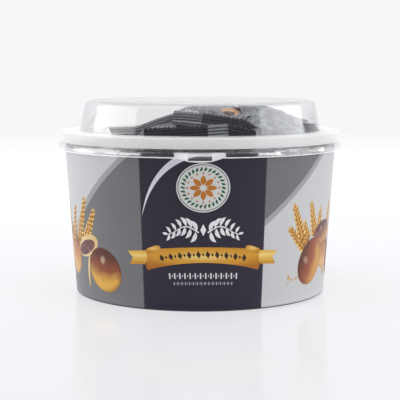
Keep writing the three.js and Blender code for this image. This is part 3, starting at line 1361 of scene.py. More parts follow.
@dataclass
class Studio:
    """The pale floor, the soft lights, the white surroundings and the camera, in metres."""

    distance: float = 0.795
    height: float = 0.148
    tilt_down: float = 6.51
    lens: float = 111.73
    floor_radius: float = 9.0
    floor_sunk: float = 0.02 * MM
    white: str = "f7f7f9"
    bounces: int = 40
    lights: tuple[Softbox, ...] = (
        Softbox("right_softbox", (0.95, -0.62, 0.55), (0.9, 0.7), 5.9),
        Softbox("left_softbox", (-1.1, -0.18, 0.5), (0.7, 0.7), 6.1),
        Softbox("top_softbox", (0.0, -0.3, 1.4), (1.2, 1.0), 6.0),
        Softbox("right_panel", (1.098, -0.029, 0.42), (1.16, 0.7), 4.6, True),
        Softbox("left_panel", (-1.097, 0.054, 0.42), (1.16, 0.7), 3.8, True),
        Softbox("right_strip", (0.9, -0.63, 0.2), (0.37, 0.24), 0.5, True),
        Softbox("left_strip", (-0.9, -0.63, 0.2), (0.37, 0.24), 0.4, True),
    )

    def floor(self, finish: Finish) -> None:
        """Lay the floor under the pack.

        Args:
            finish: The floor's paint.
        """
        work = bmesh.new()
        bmesh.ops.create_circle(work, cap_ends=True, segments=96, radius=self.floor_radius)
        mesh = bpy.data.meshes.new("studio_floor")
        work.to_mesh(mesh)
        work.free()
        mesh.transform(Matrix.Translation((0, 0, -self.floor_sunk)))
        mesh.materials.append(finish.material())
        new_object("studio_floor", mesh)

    def surroundings(self) -> None:
        """Make the air white behind the pack and dimmer on the camera's side."""
        world = bpy.data.worlds.new("studio")
        world.use_nodes = True
        bpy.context.scene.world = world
        maker = NodeMaker(world.node_tree)
        maker.tree.nodes.clear()
        _, forward, up = maker.parts(maker.value("ShaderNodeTexCoord", output="Generated"))
        seen = maker.value("ShaderNodeLightPath", output="Is Camera Ray")
        strength = (forward.rise(-0.25, 0.25) * 0.8 + 0.14).most(up.rise(0.25, 0.9) * 0.75)
        strength = strength + seen * (1.0 - strength)
        sockets = {"Color": shade(self.white), "Strength": strength}
        glow = maker.add("ShaderNodeBackground", sockets)
        maker.add("ShaderNodeOutputWorld", {0: glow.outputs[0]})

    def camera(self) -> None:
        """Set the camera in front, a little above the rim, tilted down."""
        lens = bpy.data.cameras.new("camera")
        lens.lens = self.lens
        lens.sensor_width = 36.0
        lens.clip_start = 0.01
        camera = new_object("camera", lens)
        camera.location = (0.0, -self.distance, self.height)
        camera.rotation_euler = (math.radians(90.0 - self.tilt_down), 0.0, 0.0)
        bpy.context.scene.camera = camera

    def build(self, finish: Finish) -> None:
        """Set up the whole studio.

        Args:
            finish: The floor's paint.
        """
        self.camera()
        self.floor(finish)
        self.surroundings()
        for light in self.lights:
            light.build()
        bpy.context.scene.view_settings.view_transform = "Standard"
        bpy.context.scene.cycles.transparent_max_bounces = self.bounces


# ---------- printed artwork ----------


@dataclass
class FlatArt:
    """Thin films of ink cut to outlines, laid flat: X across, Y up and Z proud, in millimetres."""

    name: str
    sunk: float = -0.03
    strip: float = 2.4
    crosswise: bool = False
    points: list[tuple[float, float, float]] = field(default_factory=list)
    faces: list[tuple[int, ...]] = field(default_factory=list)
    pattern: list[Pair] = field(default_factory=list)

    def add(self, proud: float, *outlines: Sequence[Pair]) -> "FlatArt":
        """Cut shapes, in strips so that they can follow the round wall.

        Args:
            proud: How far their tops stand off the wrap.
            outlines: The corners of each, anticlockwise.

        Returns:
            This art, with the shapes added.
        """
        for outline in outlines:
            flat = bmesh.new()
            flat.faces.new([flat.verts.new((x, y, 0.0)) for x, y in outline])
            reaches = list(zip(*outline))
            ways = (Vector((1, 0, 0)), Vector((0, 1, 0)))[: 1 + self.crosswise]
            for reach, way in zip(reaches, ways):
                first_cut, last_cut = min(reach) / self.strip, max(reach) / self.strip
                for k in range(math.ceil(first_cut), math.floor(last_cut) + 1):
                    geometry = [*flat.verts, *flat.edges, *flat.faces]
                    place = way * (k * self.strip)
                    bmesh.ops.bisect_plane(flat, geom=geometry, plane_co=place, plane_no=way)
            bmesh.ops.triangulate(flat, faces=flat.faces)
            flat.verts.index_update()
            self.thicken(flat, proud, reaches)
            flat.free()
        return self

    def thicken(self, flat: bmesh.types.BMesh, proud: float, reaches: list[tuple]) -> None:
        """Give a flat cut shape a top, an underside and edges.

        Args:
            flat: The shape.
            proud: How far its top stands off the wrap.
            reaches: The outline's numbers across and up.
        """
        first, count = len(self.points), len(flat.verts)
        middle = [(min(r) + max(r)) / 2 for r in reaches]
        half = [(max(r) - min(r)) / 2 for r in reaches]
        for level in (proud, self.sunk):
            for x, y, _ in (corner.co for corner in flat.verts):
                self.points.append((x, y, level))
                self.pattern.append(((x - middle[0]) / half[0], (y - middle[1]) / half[1]))
        for face in flat.faces:
            way = -1 if face.normal.z < 0 else 1
            ring = [corner.index + first for corner in face.verts][::way]
            self.faces.append(tuple(ring))
            self.faces.append(tuple(i + count for i in reversed(ring)))
        for edge in flat.edges:
            if len(edge.link_faces) == 1:
                face = edge.link_faces[0]
                loop = next(l for l in face.loops if l.edge == edge)
                way = -1 if face.normal.z < 0 else 1
                a, b = [loop.vert.index + first, loop.link_loop_next.vert.index + first][::way]
                self.faces.append((b, a, a + count, b + count))

    def mesh(self) -> Mesh:
        """Give the flat films as a mesh, with each shape's own pattern as its UV map.

        Returns:
            The mesh.
        """
        made = bpy.data.meshes.new(self.name)
        made.from_pydata([[c * MM for c in p] for p in self.points], [], self.faces)
        layer = made.uv_layers.new(name="UVMap")
        for loop in made.loops:
            layer.data[loop.index].uv = self.pattern[loop.vertex_index]
        return made


def hump(share: float) -> float:
    """Rise from 0 to 1 and fall back to 0 over a stroke's length."""
    return math.sin(math.pi * share)


def mirrored(outline: Sequence[Pair]) -> list[Pair]:
    """Give an outline's mirror image across the middle."""
    return [(-x, y) for x, y in reversed(outline)]


def brushed(path: Sequence[Pair], half_width: Callable[[float], float]) -> list[Pair]:
    """Give the outline of a brush stroke.

    Args:
        path: The points that the brush's middle follows.
        half_width: Half the stroke's width at a share of its length.

    Returns:
        The outline, anticlockwise along the right side first.
    """
    left, right = [], []
    last = len(path) - 1
    for i, (x, y) in enumerate(path):
        before, after = path[max(i - 1, 0)], path[min(i + 1, last)]
        dx, dy = after[0] - before[0], after[1] - before[1]
        wide = max(half_width(i / last), 0.02) / (math.hypot(dx, dy) or 1.0)
        left.append((x - dy * wide, y + dx * wide))
        right.append((x + dy * wide, y - dx * wide))
    return [*right, *reversed(left)]


def bent(start: Pair, pull: Pair, end: Pair, steps: int = 18) -> list[Pair]:
    """List points of a line that bends.

    Args:
        start: Where it starts.
        pull: The point that it bends towards.
        end: Where it ends.
        steps: How many chords stand for it.

    Returns:
        The points, both ends included.
    """
    points = []
    for t in (i / steps for i in range(steps + 1)):
        a, b, c = (1 - t) ** 2, 2 * t * (1 - t), t * t
        points.append(tuple(a * s + b * p + c * e for s, p, e in zip(start, pull, end)))
    return points


def joined(name: str, meshes: Sequence[Mesh]) -> Mesh:
    """Join meshes, with their UV maps and finishes, into one.

    Args:
        name: The new mesh's name.
        meshes: The meshes.

    Returns:
        The new mesh.
    """
    work = bmesh.new()
    for mesh in meshes:
        work.from_mesh(mesh)
    made = bpy.data.meshes.new(name)
    for finish in meshes[0].materials:
        made.materials.append(finish)
    work.to_mesh(made)
    work.free()
    return made


@cache
def wrapping_tree() -> NodeTree:
    """Make the tree that wraps flat art round the tapered wall, once on each side.

    Returns:
        A tree whose start mesh is the flat art.
    """
    lengths = ("Base radius", "Flare", "Middle radius", "Centre turn")
    tree = GeometryTree("Wrap on the wall", (), lengths)
    across, up, proud = tree.position()
    radius = tree.input("Base radius") + tree.input("Flare") * up + proud
    both = tree.add("GeometryNodeJoinGeometry")
    for half_turn in (0.0, math.pi):
        turn = across / tree.input("Middle radius") + tree.input("Centre turn") + half_turn
        side = tree.moved(tree.input("Geometry"), tree.around(radius, turn, up))
        tree.tree.links.new(side.socket, both.inputs[0])
    return tree.close(Value(tree, both.outputs[0]))


@cache
def ring_tree() -> NodeTree:
    """Make the tree that sets marks round an oval, each pointing outwards.

    Returns:
        A tree whose start mesh is one mark at the origin.
    """
    tree = GeometryTree("Ring of marks", ("Count",), ("Radius", "Squash", "Up"))
    x, y, _ = tree.position()
    turn = y.angle(x) - math.pi / 2
    sockets = {
        "Geometry": tree.copies(tree.circle(), tree.vector(0.0, 0.0, turn)),
        "Translation": tree.vector(0.0, tree.input("Up"), 0.0),
        "Scale": tree.vector(1.0, tree.input("Squash"), 1.0),
    }
    return tree.close(tree.value("GeometryNodeTransform", sockets))


@cache
def row_tree() -> NodeTree:
    """Make the tree that sets marks in an arched row, every other one small.

    Returns:
        A tree whose start mesh is one mark at the origin.
    """
    tree = GeometryTree("Row of marks", ("Count",), ("Pitch", "Up", "Arch", "Small"))
    pitch, arch = tree.input("Pitch"), tree.input("Arch")
    half = (tree.input("Count") - 1.0) * pitch * 0.5
    across = tree.position()[0] - half
    share = across / half
    place = tree.vector(across, tree.input("Up") - share * share * arch, 0.0)
    odd = tree.value("GeometryNodeInputIndex").maths("FLOORED_MODULO", 2.0)
    size = 1.0 - odd * (1.0 - tree.input("Small"))
    turn = tree.vector(0.0, 0.0, share * arch * -2.0 / half)
    return tree.close(tree.copies(tree.moved(tree.line(pitch), place), turn, size))


@cache
def ear_tree() -> NodeTree:
    """Make the tree that sets grains in three rows up a bending stalk, smaller to its tip.

    Returns:
        A tree whose start mesh is one grain at the origin.
    """
    lengths = ("Pitch", "Spread", "Splay", "Bend", "Across", "Up", "Lean")
    tree = GeometryTree("Ear of wheat", ("Count",), lengths)
    count = tree.input("Count")
    index = tree.value("GeometryNodeInputIndex")
    share = index / (count - 1.0)
    side = index.maths("FLOORED_MODULO", 3.0) - 1.0
    _, y, _ = tree.position()
    x = side * tree.input("Spread") * (1.0 - share * 0.55) + share * share * tree.input("Bend")
    place = tree.vector(x, y, (count - index) * 0.0015 * MM)
    turn = tree.vector(0.0, 0.0, side * tree.input("Splay") * (share * share - 1.0))
    stalk = tree.moved(tree.line(0.0, tree.input("Pitch")), place)
    sockets = {
        "Geometry": tree.copies(stalk, turn, 1.0 - share * 0.35),
        "Translation": tree.vector(tree.input("Across"), tree.input("Up"), 0.0),
        "Rotation": tree.vector(0.0, 0.0, tree.input("Lean")),
    }
    return tree.close(tree.value("GeometryNodeTransform", sockets))


@cache
def scatter_tree() -> NodeTree:
    """Make the tree that strews flakes over a flat patch.

    Returns:
        A tree whose start mesh is one flake at the origin.
    """
    lengths = ("Across", "Up", "Width", "Height")
    tree = GeometryTree("Strewn flakes", ("Count", "Seed"), lengths)
    x = tree.input("Across") + tree.chance(0.0, -0.5, 0.5) * tree.input("Width")
    y = tree.input("Up") + tree.chance(1.0, -0.5, 0.5) * tree.input("Height")
    strewn = tree.moved(tree.line(), tree.vector(x, y, 0.0))
    turn = tree.vector(0.0, 0.0, tree.chance(3.0, 0.0, 2 * math.pi))
    return tree.close(tree.copies(strewn, turn, tree.chance(2.0, 0.5, 1.3)))


@dataclass
class Artwork:
    """Something printed on the wrap; flat art goes in and wrapped pieces come out."""

    wall: Wall
    centre: float = 1.3

    def marks(self, maker: Callable, mark: FlatArt, ink: Finish, **inputs: float) -> Mesh:
        """Repeat one flat mark by a tree.

        Args:
            maker: The function that makes the tree.
            mark: The mark.
            ink: Its ink.
            inputs: The tree's inputs. Lengths are in millimetres, the rest in PLAIN_INPUTS.

        Returns:
            All the marks, still flat.
        """
        given = {n: v if n in PLAIN_INPUTS else v * MM for n, v in inputs.items()}
        return shape_with_tree(f"{mark.name}_marks", mark.mesh(), maker(), given, ink)

    def wrap(self, name: str, flat: Mesh, ink: Finish) -> None:
        """Wrap flat art round both sides of the wall as one piece.

        Args:
            name: The piece's name.
            flat: The flat art.
            ink: Its ink.
        """
        inputs = {
            "Base radius": self.wall.base_radius * MM,
            "Flare": self.wall.flare,
            "Middle radius": self.wall.middle_radius * MM,
            "Centre turn": math.radians(self.centre),
        }
        mesh = shape_with_tree(name, flat, wrapping_tree(), inputs, ink)
        piece(name, mesh, "printed_label", "label")

    def stamp(self, name: str, ink: Finish, proud: float, *outlines: Sequence[Pair]) -> None:
        """Print shapes as one piece.

        Args:
            name: The piece's name.
            ink: Its ink.
            proud: How far the ink stands off the wrap, in millimetres.
            outlines: The shapes' outlines.
        """
        self.wrap(name, FlatArt(name).add(proud, *outlines).mesh(), ink)


@dataclass
class Swoosh(Artwork):
    """The pale sickle that sweeps up the left of the panel and under the skirt."""

    tip: Pair = (-36.4, 56.7)
    pull: Pair = (-29.5, 87.0)
    head: Pair = (-3.8, 94.7)
    half_width: float = 2.5
    highest: float = 93.1

    def build(self) -> None:
        """Print the sickle."""
        path = bent(self.tip, self.pull, self.head, 28)
        outline = brushed(path, lambda t: self.half_width * t ** 0.85)
        cut = [(across, min(up, self.highest)) for across, up in outline]
        self.stamp("pale_sickle", Ink("pale_sickle_ink", "dedde4", "d2d0da"), 0.05, cut)


@dataclass
class Badge(Artwork):
    """The round badge: a rimmed pale disc with a rosette and a ring of small leaves."""

    up: float = 73.9
    half_wide: float = 15.35
    half_high: float = 14.35
    petals: int = 8
    leaves: int = 30
    leaf_ring: float = 11.7
    petal_ring: float = 4.6
    dot_ring: float = 9.1
    discs: tuple[tuple[str, float, float, str, str], ...] = (
        ("badge_rim", 1.0, 0.04, "e6e6e6", "d8d8d9"),
        ("badge_line", 0.955, 0.06, "2c3a3c", "253033"),
        ("badge_face", 0.925, 0.08, "d9d9d7", "cdcdcb"),
    )

    def ring(self, mark: FlatArt, ink: Finish, count: int, radius: float) -> Mesh:
        """Set marks round the badge.

        Args:
            mark: One mark.
            ink: Its ink.
            count: How many there are.
            radius: How far out they stand, in millimetres.

        Returns:
            The marks, still flat.
        """
        oval_ring = {"Radius": radius, "Squash": self.half_high / self.half_wide, "Up": self.up}
        return self.marks(ring_tree, mark, ink, Count=count, **oval_ring)

    def build(self) -> None:
        """Print the badge's discs, leaves and rosette, from back to front."""
        for name, share, proud, colour, deep in self.discs:
            half = (self.half_wide * share, self.half_high * share)
            ink = Ink(f"{name}_ink", colour, deep)
            self.stamp(name, ink, proud, oval((0.0, self.up), half, 0.0, 72))
        green = Ink("leaf_green_ink", "1b5140", "24634a")
        spine = bent((-0.8, -1.2), (0.5, -0.3), (0.45, 1.4), 8)
        leaf = FlatArt("leaf").add(0.11, brushed(spine, lambda t: 0.66 * hump(t) ** 0.8))
        self.wrap("badge_leaves", self.ring(leaf, green, self.leaves, self.leaf_ring), green)
        orange = Ink("rosette_ink", "c47a2c", "ad6424")
        spine = bent((0.0, -2.9), (0.0, 0.0), (0.0, 3.3), 12)
        petal = FlatArt("petal", strip=1.2, crosswise=True)
        petal.add(0.12, brushed(spine, lambda t: 1.6 * hump(t) ** 0.75))
        dot = FlatArt("rosette_dot").add(0.1, oval((0.0, 0.0), (0.6, 0.6), 0.0, 12))
        rosette = self.ring(petal, orange, self.petals, self.petal_ring)
        dots = self.ring(dot, orange, self.petals * 2, self.dot_ring)
        self.wrap("badge_rosette", joined("rosette", [rosette, dots]), orange)


@dataclass
class Flourish(Artwork):
    """A mirrored spray of white leaves round a diamond, under the badge."""

    up: float = 48.8
    half_wide: float = 23.6
    pairs: int = 6
    leaf: float = 6.6
    diamond: Pair = (1.7, 3.6)

    def stem(self, share: float) -> Pair:
        """Give the stem's point at a share of its length from the middle."""
        return (2.6 + (self.half_wide - 5.0) * share, self.up + 2.4 * math.sin(share * 5.2 - 0.5))

    def spray(self) -> list[list[Pair]]:
        """List the outlines of the right half: the stem and its leaves.

        Returns:
            The outlines.
        """
        outlines = [brushed([self.stem(i / 20) for i in range(21)], lambda t: 0.42 - 0.2 * t)]
        for i in range(self.pairs):
            share = (i + 0.35) / self.pairs
            x, y = self.stem(share)
            length = self.leaf * (1.0 - 0.42 * share)
            shape = lambda t, wide=0.19 * length: wide * hump(t) ** 0.85 * (1.25 - 0.5 * t)
            for side in (1, -1):
                start = (x + (0.8 if side < 0 else 0.0), y + 0.3 * side)
                pull = (x + 0.6, y + side * length * 0.75)
                end = (x + length * 0.62, y + side * length * 0.98)
                outlines.append(brushed(bent(start, pull, end, 10), shape))
        x, y = self.stem(1.0)
        return [*outlines, oval((x + 1.2, y + 0.4), (1.5, 0.75), 12, 14)]

    def build(self) -> None:
        """Print the spray, its mirrored half and the diamond between them."""
        pairs = [(outline, mirrored(outline)) for outline in self.spray()]
        wide, high = self.diamond
        corners = ((0.0, -high), (wide, 0.0), (0.0, high), (-wide, 0.0))
        middle = [(x, y + self.up + 0.4) for x, y in corners]
        ink = Ink("white_spray_ink", "f2f2f4", "dcdce0")
        self.stamp("white_spray", ink, 0.05, *[half for pair in pairs for half in pair], middle)


@dataclass
class Ribbon(Artwork):
    """The arched gold ribbon with folded ends and swallow tails, and a row of dark lozenges."""

    half: float = 34.2
    top: Pair = (39.0, 36.7)
    low: Pair = (29.75, 24.4)
    steps: int = 24
    tail: tuple[Pair, ...] = ((29.2, 28.2), (46.2, 27.3), (43.8, 31.4), (47.2, 35.2), (30.2, 36.6))
    fold: tuple[Pair, ...] = ((25.6, 36.2), (34.4, 34.6), (34.4, 37.2), (28.2, 39.6), (25.6, 39.2))
    shadow: tuple[Pair, ...] = ((34.1, 24.4), (35.7, 28.2), (34.1, 29.6))

    def edge(self, heights: Pair) -> list[Pair]:
        """List the points of an arched edge, left to right.

        Args:
            heights: Its height in the middle and at its ends.

        Returns:
            The points.
        """
        middle, end = heights
        shares = [2 * i / self.steps - 1 for i in range(self.steps + 1)]
        return [(self.half * s, middle + (end - middle) * s * s) for s in shares]

    def build(self) -> None:
        """Print the ribbon's parts from back to front."""
        band = [*self.edge(self.low), *reversed(self.edge(self.top))]
        tail_gold = GoldInk("gold_tail_ink", "c98d2c", "e3b24c", "f4d584", 1.4)
        fold_gold = GoldInk("gold_fold_ink", "b8761f", "dba441")
        under = Ink("fold_shadow_ink", "a8602a", "8c4c22")
        self.stamp("ribbon_band", GoldInk("gold_ribbon_ink"), 0.09, band)
        self.stamp("ribbon_tails", tail_gold, 0.05, self.tail, mirrored(self.tail))
        self.stamp("ribbon_folds", fold_gold, 0.12, self.fold, mirrored(self.fold))
        self.stamp("ribbon_shadows", under, 0.07, self.shadow, mirrored(self.shadow))
        dark = Ink("lozenge_ink", "3b2a1c", "4a3320")
        diamond = [(0.0, -2.3), (1.45, 0.0), (0.0, 2.3), (-1.45, 0.0)]
        lozenge = FlatArt("lozenge").add(0.11, diamond)
        sizes = {"Count": 19, "Pitch": 2.75, "Up": 34.6, "Arch": 2.5, "Small": 0.5}
        self.wrap("ribbon_lozenges", self.marks(row_tree, lozenge, dark, **sizes), dark)


@dataclass
class Captions(Artwork):
    """Two rows of small pale bars and dots below the ribbon."""

    def row(self, name: str, half: Pair, ink: Finish, **sizes: float) -> None:
        """Print one row.

        Args:
            name: The piece's name.
            half: Half a bar's width and height, in millimetres.
            ink: Its ink.
            sizes: The row's count, pitch, height, arch and share of the small ones.
        """
        x, y = half
        bar = FlatArt("bar").add(0.05, [(-x, -y), (x, -y), (x, y), (-x, y)])
        self.wrap(name, self.marks(row_tree, bar, ink, **sizes), ink)

    def build(self) -> None:
        """Print both rows."""
        bright = Ink("bright_mark_ink", "e9e9ec", "dadade")
        soft = Ink("soft_mark_ink", "b9b9c0", "a9a9b2")
        upper = {"Count": 27, "Pitch": 1.55, "Up": 21.9, "Arch": 0.4, "Small": 0.42}
        lower = {"Count": 31, "Pitch": 1.16, "Up": 17.4, "Arch": 0.3, "Small": 0.45}
        self.row("upper_marks", (0.42, 1.75), bright, **upper)
        self.row("lower_marks", (0.3, 0.95), soft, **lower)


@dataclass
class Bakery(Artwork):
    """The cookies, wheat ears and crumbs printed on the sides.

    Each of `ears` has the place of its foot, the place of its tip and how far it bends.
    """

    ears: tuple[tuple[Pair, Pair, float], ...] = (
        ((70.7, 34.7), (54.8, 46.1), 1.8),
        ((74.6, 38.6), (68.3, 49.5), 0.8),
        ((69.0, 39.8), (57.8, 60.9), 1.5),
        ((82.0, 42.6), (75.0, 61.2), 0.8),
        ((88.0, 44.0), (88.6, 56.8), 0.0),
        ((103.5, 42.0), (108.5, 58.0), -1.6),
        ((118.0, 36.0), (113.5, 55.5), 1.4),
        ((131.0, 44.0), (133.0, 61.0), -0.8),
        ((144.0, 40.0), (142.0, 58.5), 0.6),
        ((152.5, 34.7), (162.0, 56.7), -1.4),
        ((164.6, 36.9), (177.2, 63.3), -1.2),
        ((174.8, 38.9), (187.2, 56.3), -1.6),
    )
    grain_step: float = 1.05
    awns: tuple[float, ...] = (-1.7, -0.9, 0.9, 1.7)
    straw_proud: float = 0.045

    def straws(self, foot: Pair, tip: Pair, bend: float, lean: float) -> list[list[Pair]]:
        """List the outlines of an ear's awns and of the straw below it.

        Args:
            foot: The place of the ear's foot.
            tip: The place of its tip.
            bend: How far it bends.
            lean: How far it leans, in radians.

        Returns:
            The outlines.
        """
        along = lambda share: tuple(f + (t - f) * share for f, t in zip(foot, tip))
        outlines = []
        for reach in self.awns:
            end = (
                tip[0] + reach * math.cos(lean) + bend * 0.8,
                tip[1] + 1.9 + reach * math.sin(lean),
            )
            path = bent(along(0.7), tip, end, 5)
            outlines.append(brushed(path, lambda t: 0.16 * (1 - t) + 0.03))
        return [*outlines, brushed(bent(along(-0.35), foot, foot, 4), lambda t: 0.35)]

    def wheat(self) -> None:
        """Print the ears, each a row of grains on a stalk, with its awns and straw."""
        ink = GrainInk("wheat_grain_ink")
        straws = FlatArt("straws")
        meshes = []
        spine = bent((0.0, -2.4), (0.0, 0.2), (0.0, 3.0), 12)
        outline = brushed(spine, lambda t: 1.55 * hump(t ** 0.8) ** 0.7)
        for foot, tip, bend in self.ears:
            lean = math.atan2(foot[0] - tip[0], tip[1] - foot[1])
            length = math.dist(foot, tip)
            count = round(length / self.grain_step)
            grain = FlatArt("grain").add(0.06, outline)
            sizes = {"Count": count, "Pitch": length / count, "Spread": 2.2, "Splay": 0.75}
            place = {"Bend": bend, "Across": foot[0], "Up": foot[1], "Lean": lean}
            meshes.append(self.marks(ear_tree, grain, ink, **sizes, **place))
            straws.add(self.straw_proud, *self.straws(foot, tip, bend, lean))
        self.wrap("wheat_ears", joined("wheat_ears", meshes), ink)
        self.wrap("wheat_straws", straws.mesh(), Ink("straw_ink", "e2b765", "c8943f"))

    def flakes(self, ink: Finish) -> list[Mesh]:
        """Strew the two patches of flakes.

        Args:
            ink: Their ink.

        Returns:
            Both patches, still flat.
        """
        shape = [(-0.8, -0.3), (0.6, -0.45), (0.95, 0.2), (0.0, 0.55), (-0.7, 0.3)]
        flake = FlatArt("flake").add(0.06, shape)
        near = {"Count": 16, "Seed": 4, "Across": 61.5, "Up": 16.0, "Width": 12.0, "Height": 4.6}
        far = {"Count": 12, "Seed": 9, "Across": 106.0, "Up": 15.0, "Width": 12.0, "Height": 4.0}
        return [self.marks(scatter_tree, flake, ink, **patch) for patch in (near, far)]

    def build(self) -> None:
        """Print the side pictures from back to front."""
        self.wheat()
        plum = CrustInk("plum_crust_ink", -60, "c98f58", "8b5a55", "5d3a3e", 0.7)
        warm = CrustInk("warm_crust_ink", -25, "d49a50", "9a4f38", "64382a", 0.8)
        deep = CrustInk("deep_crust_ink", -98, "e3ae50", "8c4a34", "5b3227", 1.0)
        amber = CrustInk("amber_crust_ink", -100, "e0b070", "c68555", "8f5a3c", 0.6)
        cream = Ink("crumb_cream_ink", "e9cf9c", "d3a866")
        for name, middle, half, lean, proud, ink in (
            ("cookie_under", (101.0, 27.5), (11.5, 10.0), 0, 0.075, amber),
            ("cookie_behind", (96.0, 41.3), (13.8, 7.4), 4, 0.085, plum),
            ("cookie_rear", (142.0, 35.0), (12.6, 12.0), -8, 0.075, plum),
            ("cookie_amber", (153.5, 27.5), (11.5, 13.6), 6, 0.085, amber),
            ("cookie_tall", (79.6, 25.2), (12.6, 15.6), -42, 0.11, warm),
            ("cookie_middle", (123.5, 23.0), (15.8, 13.0), 14, 0.11, warm),
            ("cookie_whole", (192.5, 21.3), (15.0, 13.0), -27, 0.13, deep),
            ("cut_crust", (175.7, 34.4), (12.8, 6.3), 20, 0.1, cream),
            ("cut_filling", (174.3, 33.3), (10.8, 4.2), 19, 0.12, FillingInk("filling_ink")),
        ):
            self.stamp(name, ink, proud, oval(middle, half, lean, 56))
        path = bent((175.9, 9.0), (174.6, 20.0), (178.6, 32.0), 14)
        sliver = brushed(path, lambda t: 1.2 * hump(0.1 + 0.85 * t))
        self.stamp("crust_sliver", cream, 0.12, sliver)
        crumb = Ink("flake_ink", "d9a95c", "b77f38")
        self.wrap("pastry_flakes", joined("flakes", self.flakes(crumb)), crumb)


# ---------- contents ----------


@dataclass
class Room:
    """The space inside the tub and the dome that the packets stay in, in millimetres."""

    wall: Wall
    lining: float = 2.15
    floor: float = 1.7
    ceiling_gap: float = 1.9
    ledge_low: float = 94.8
    ledge: float = 101.7
    ledge_reach: float = 4.0
    under_flange: float = 82.0
    dome_foot: float = 75.3
    dome_narrowing: float = 0.2

    def radius(self, height: np.ndarray) -> np.ndarray:
        """Give the widest radius that is free at each height.

        Args:
            height: Heights.

        Returns:
            Radii.
        """
        below = self.wall.base_radius - self.lining + self.wall.flare * height
        dome = self.dome_foot - self.dome_narrowing * np.clip(height - self.ledge, 0, None)
        middle = np.minimum(below, self.under_flange)
        return np.where(height < self.ledge_low, below, np.where(height < self.ledge, middle, dome))

    def confine(self, points: np.ndarray, ceiling: float | None = None) -> np.ndarray:
        """Pull points that stand out of the room back to its walls.

        Args:
            points: Places, one to a row.
            ceiling: A height that they also stay under.

        Returns:
            The places, moved where they had to be.
        """
        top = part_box("lid")[1].z / MM - self.ceiling_gap
        kept = points.copy()
        kept[:, 2] = np.clip(kept[:, 2], self.floor, top if ceiling is None else ceiling)
        radius = np.hypot(kept[:, 0], kept[:, 1])
        over = kept[:, 2] - self.ledge
        under = (radius > self.dome_foot) & (over > 0) & (over < self.ledge_reach)
        kept[under, 2] = self.ledge - 0.1
        limit = self.radius(kept[:, 2])
        share = np.where(radius > limit, limit / np.maximum(radius, 1e-9), 1.0)
        kept[:, :2] *= share[:, None]
        return kept


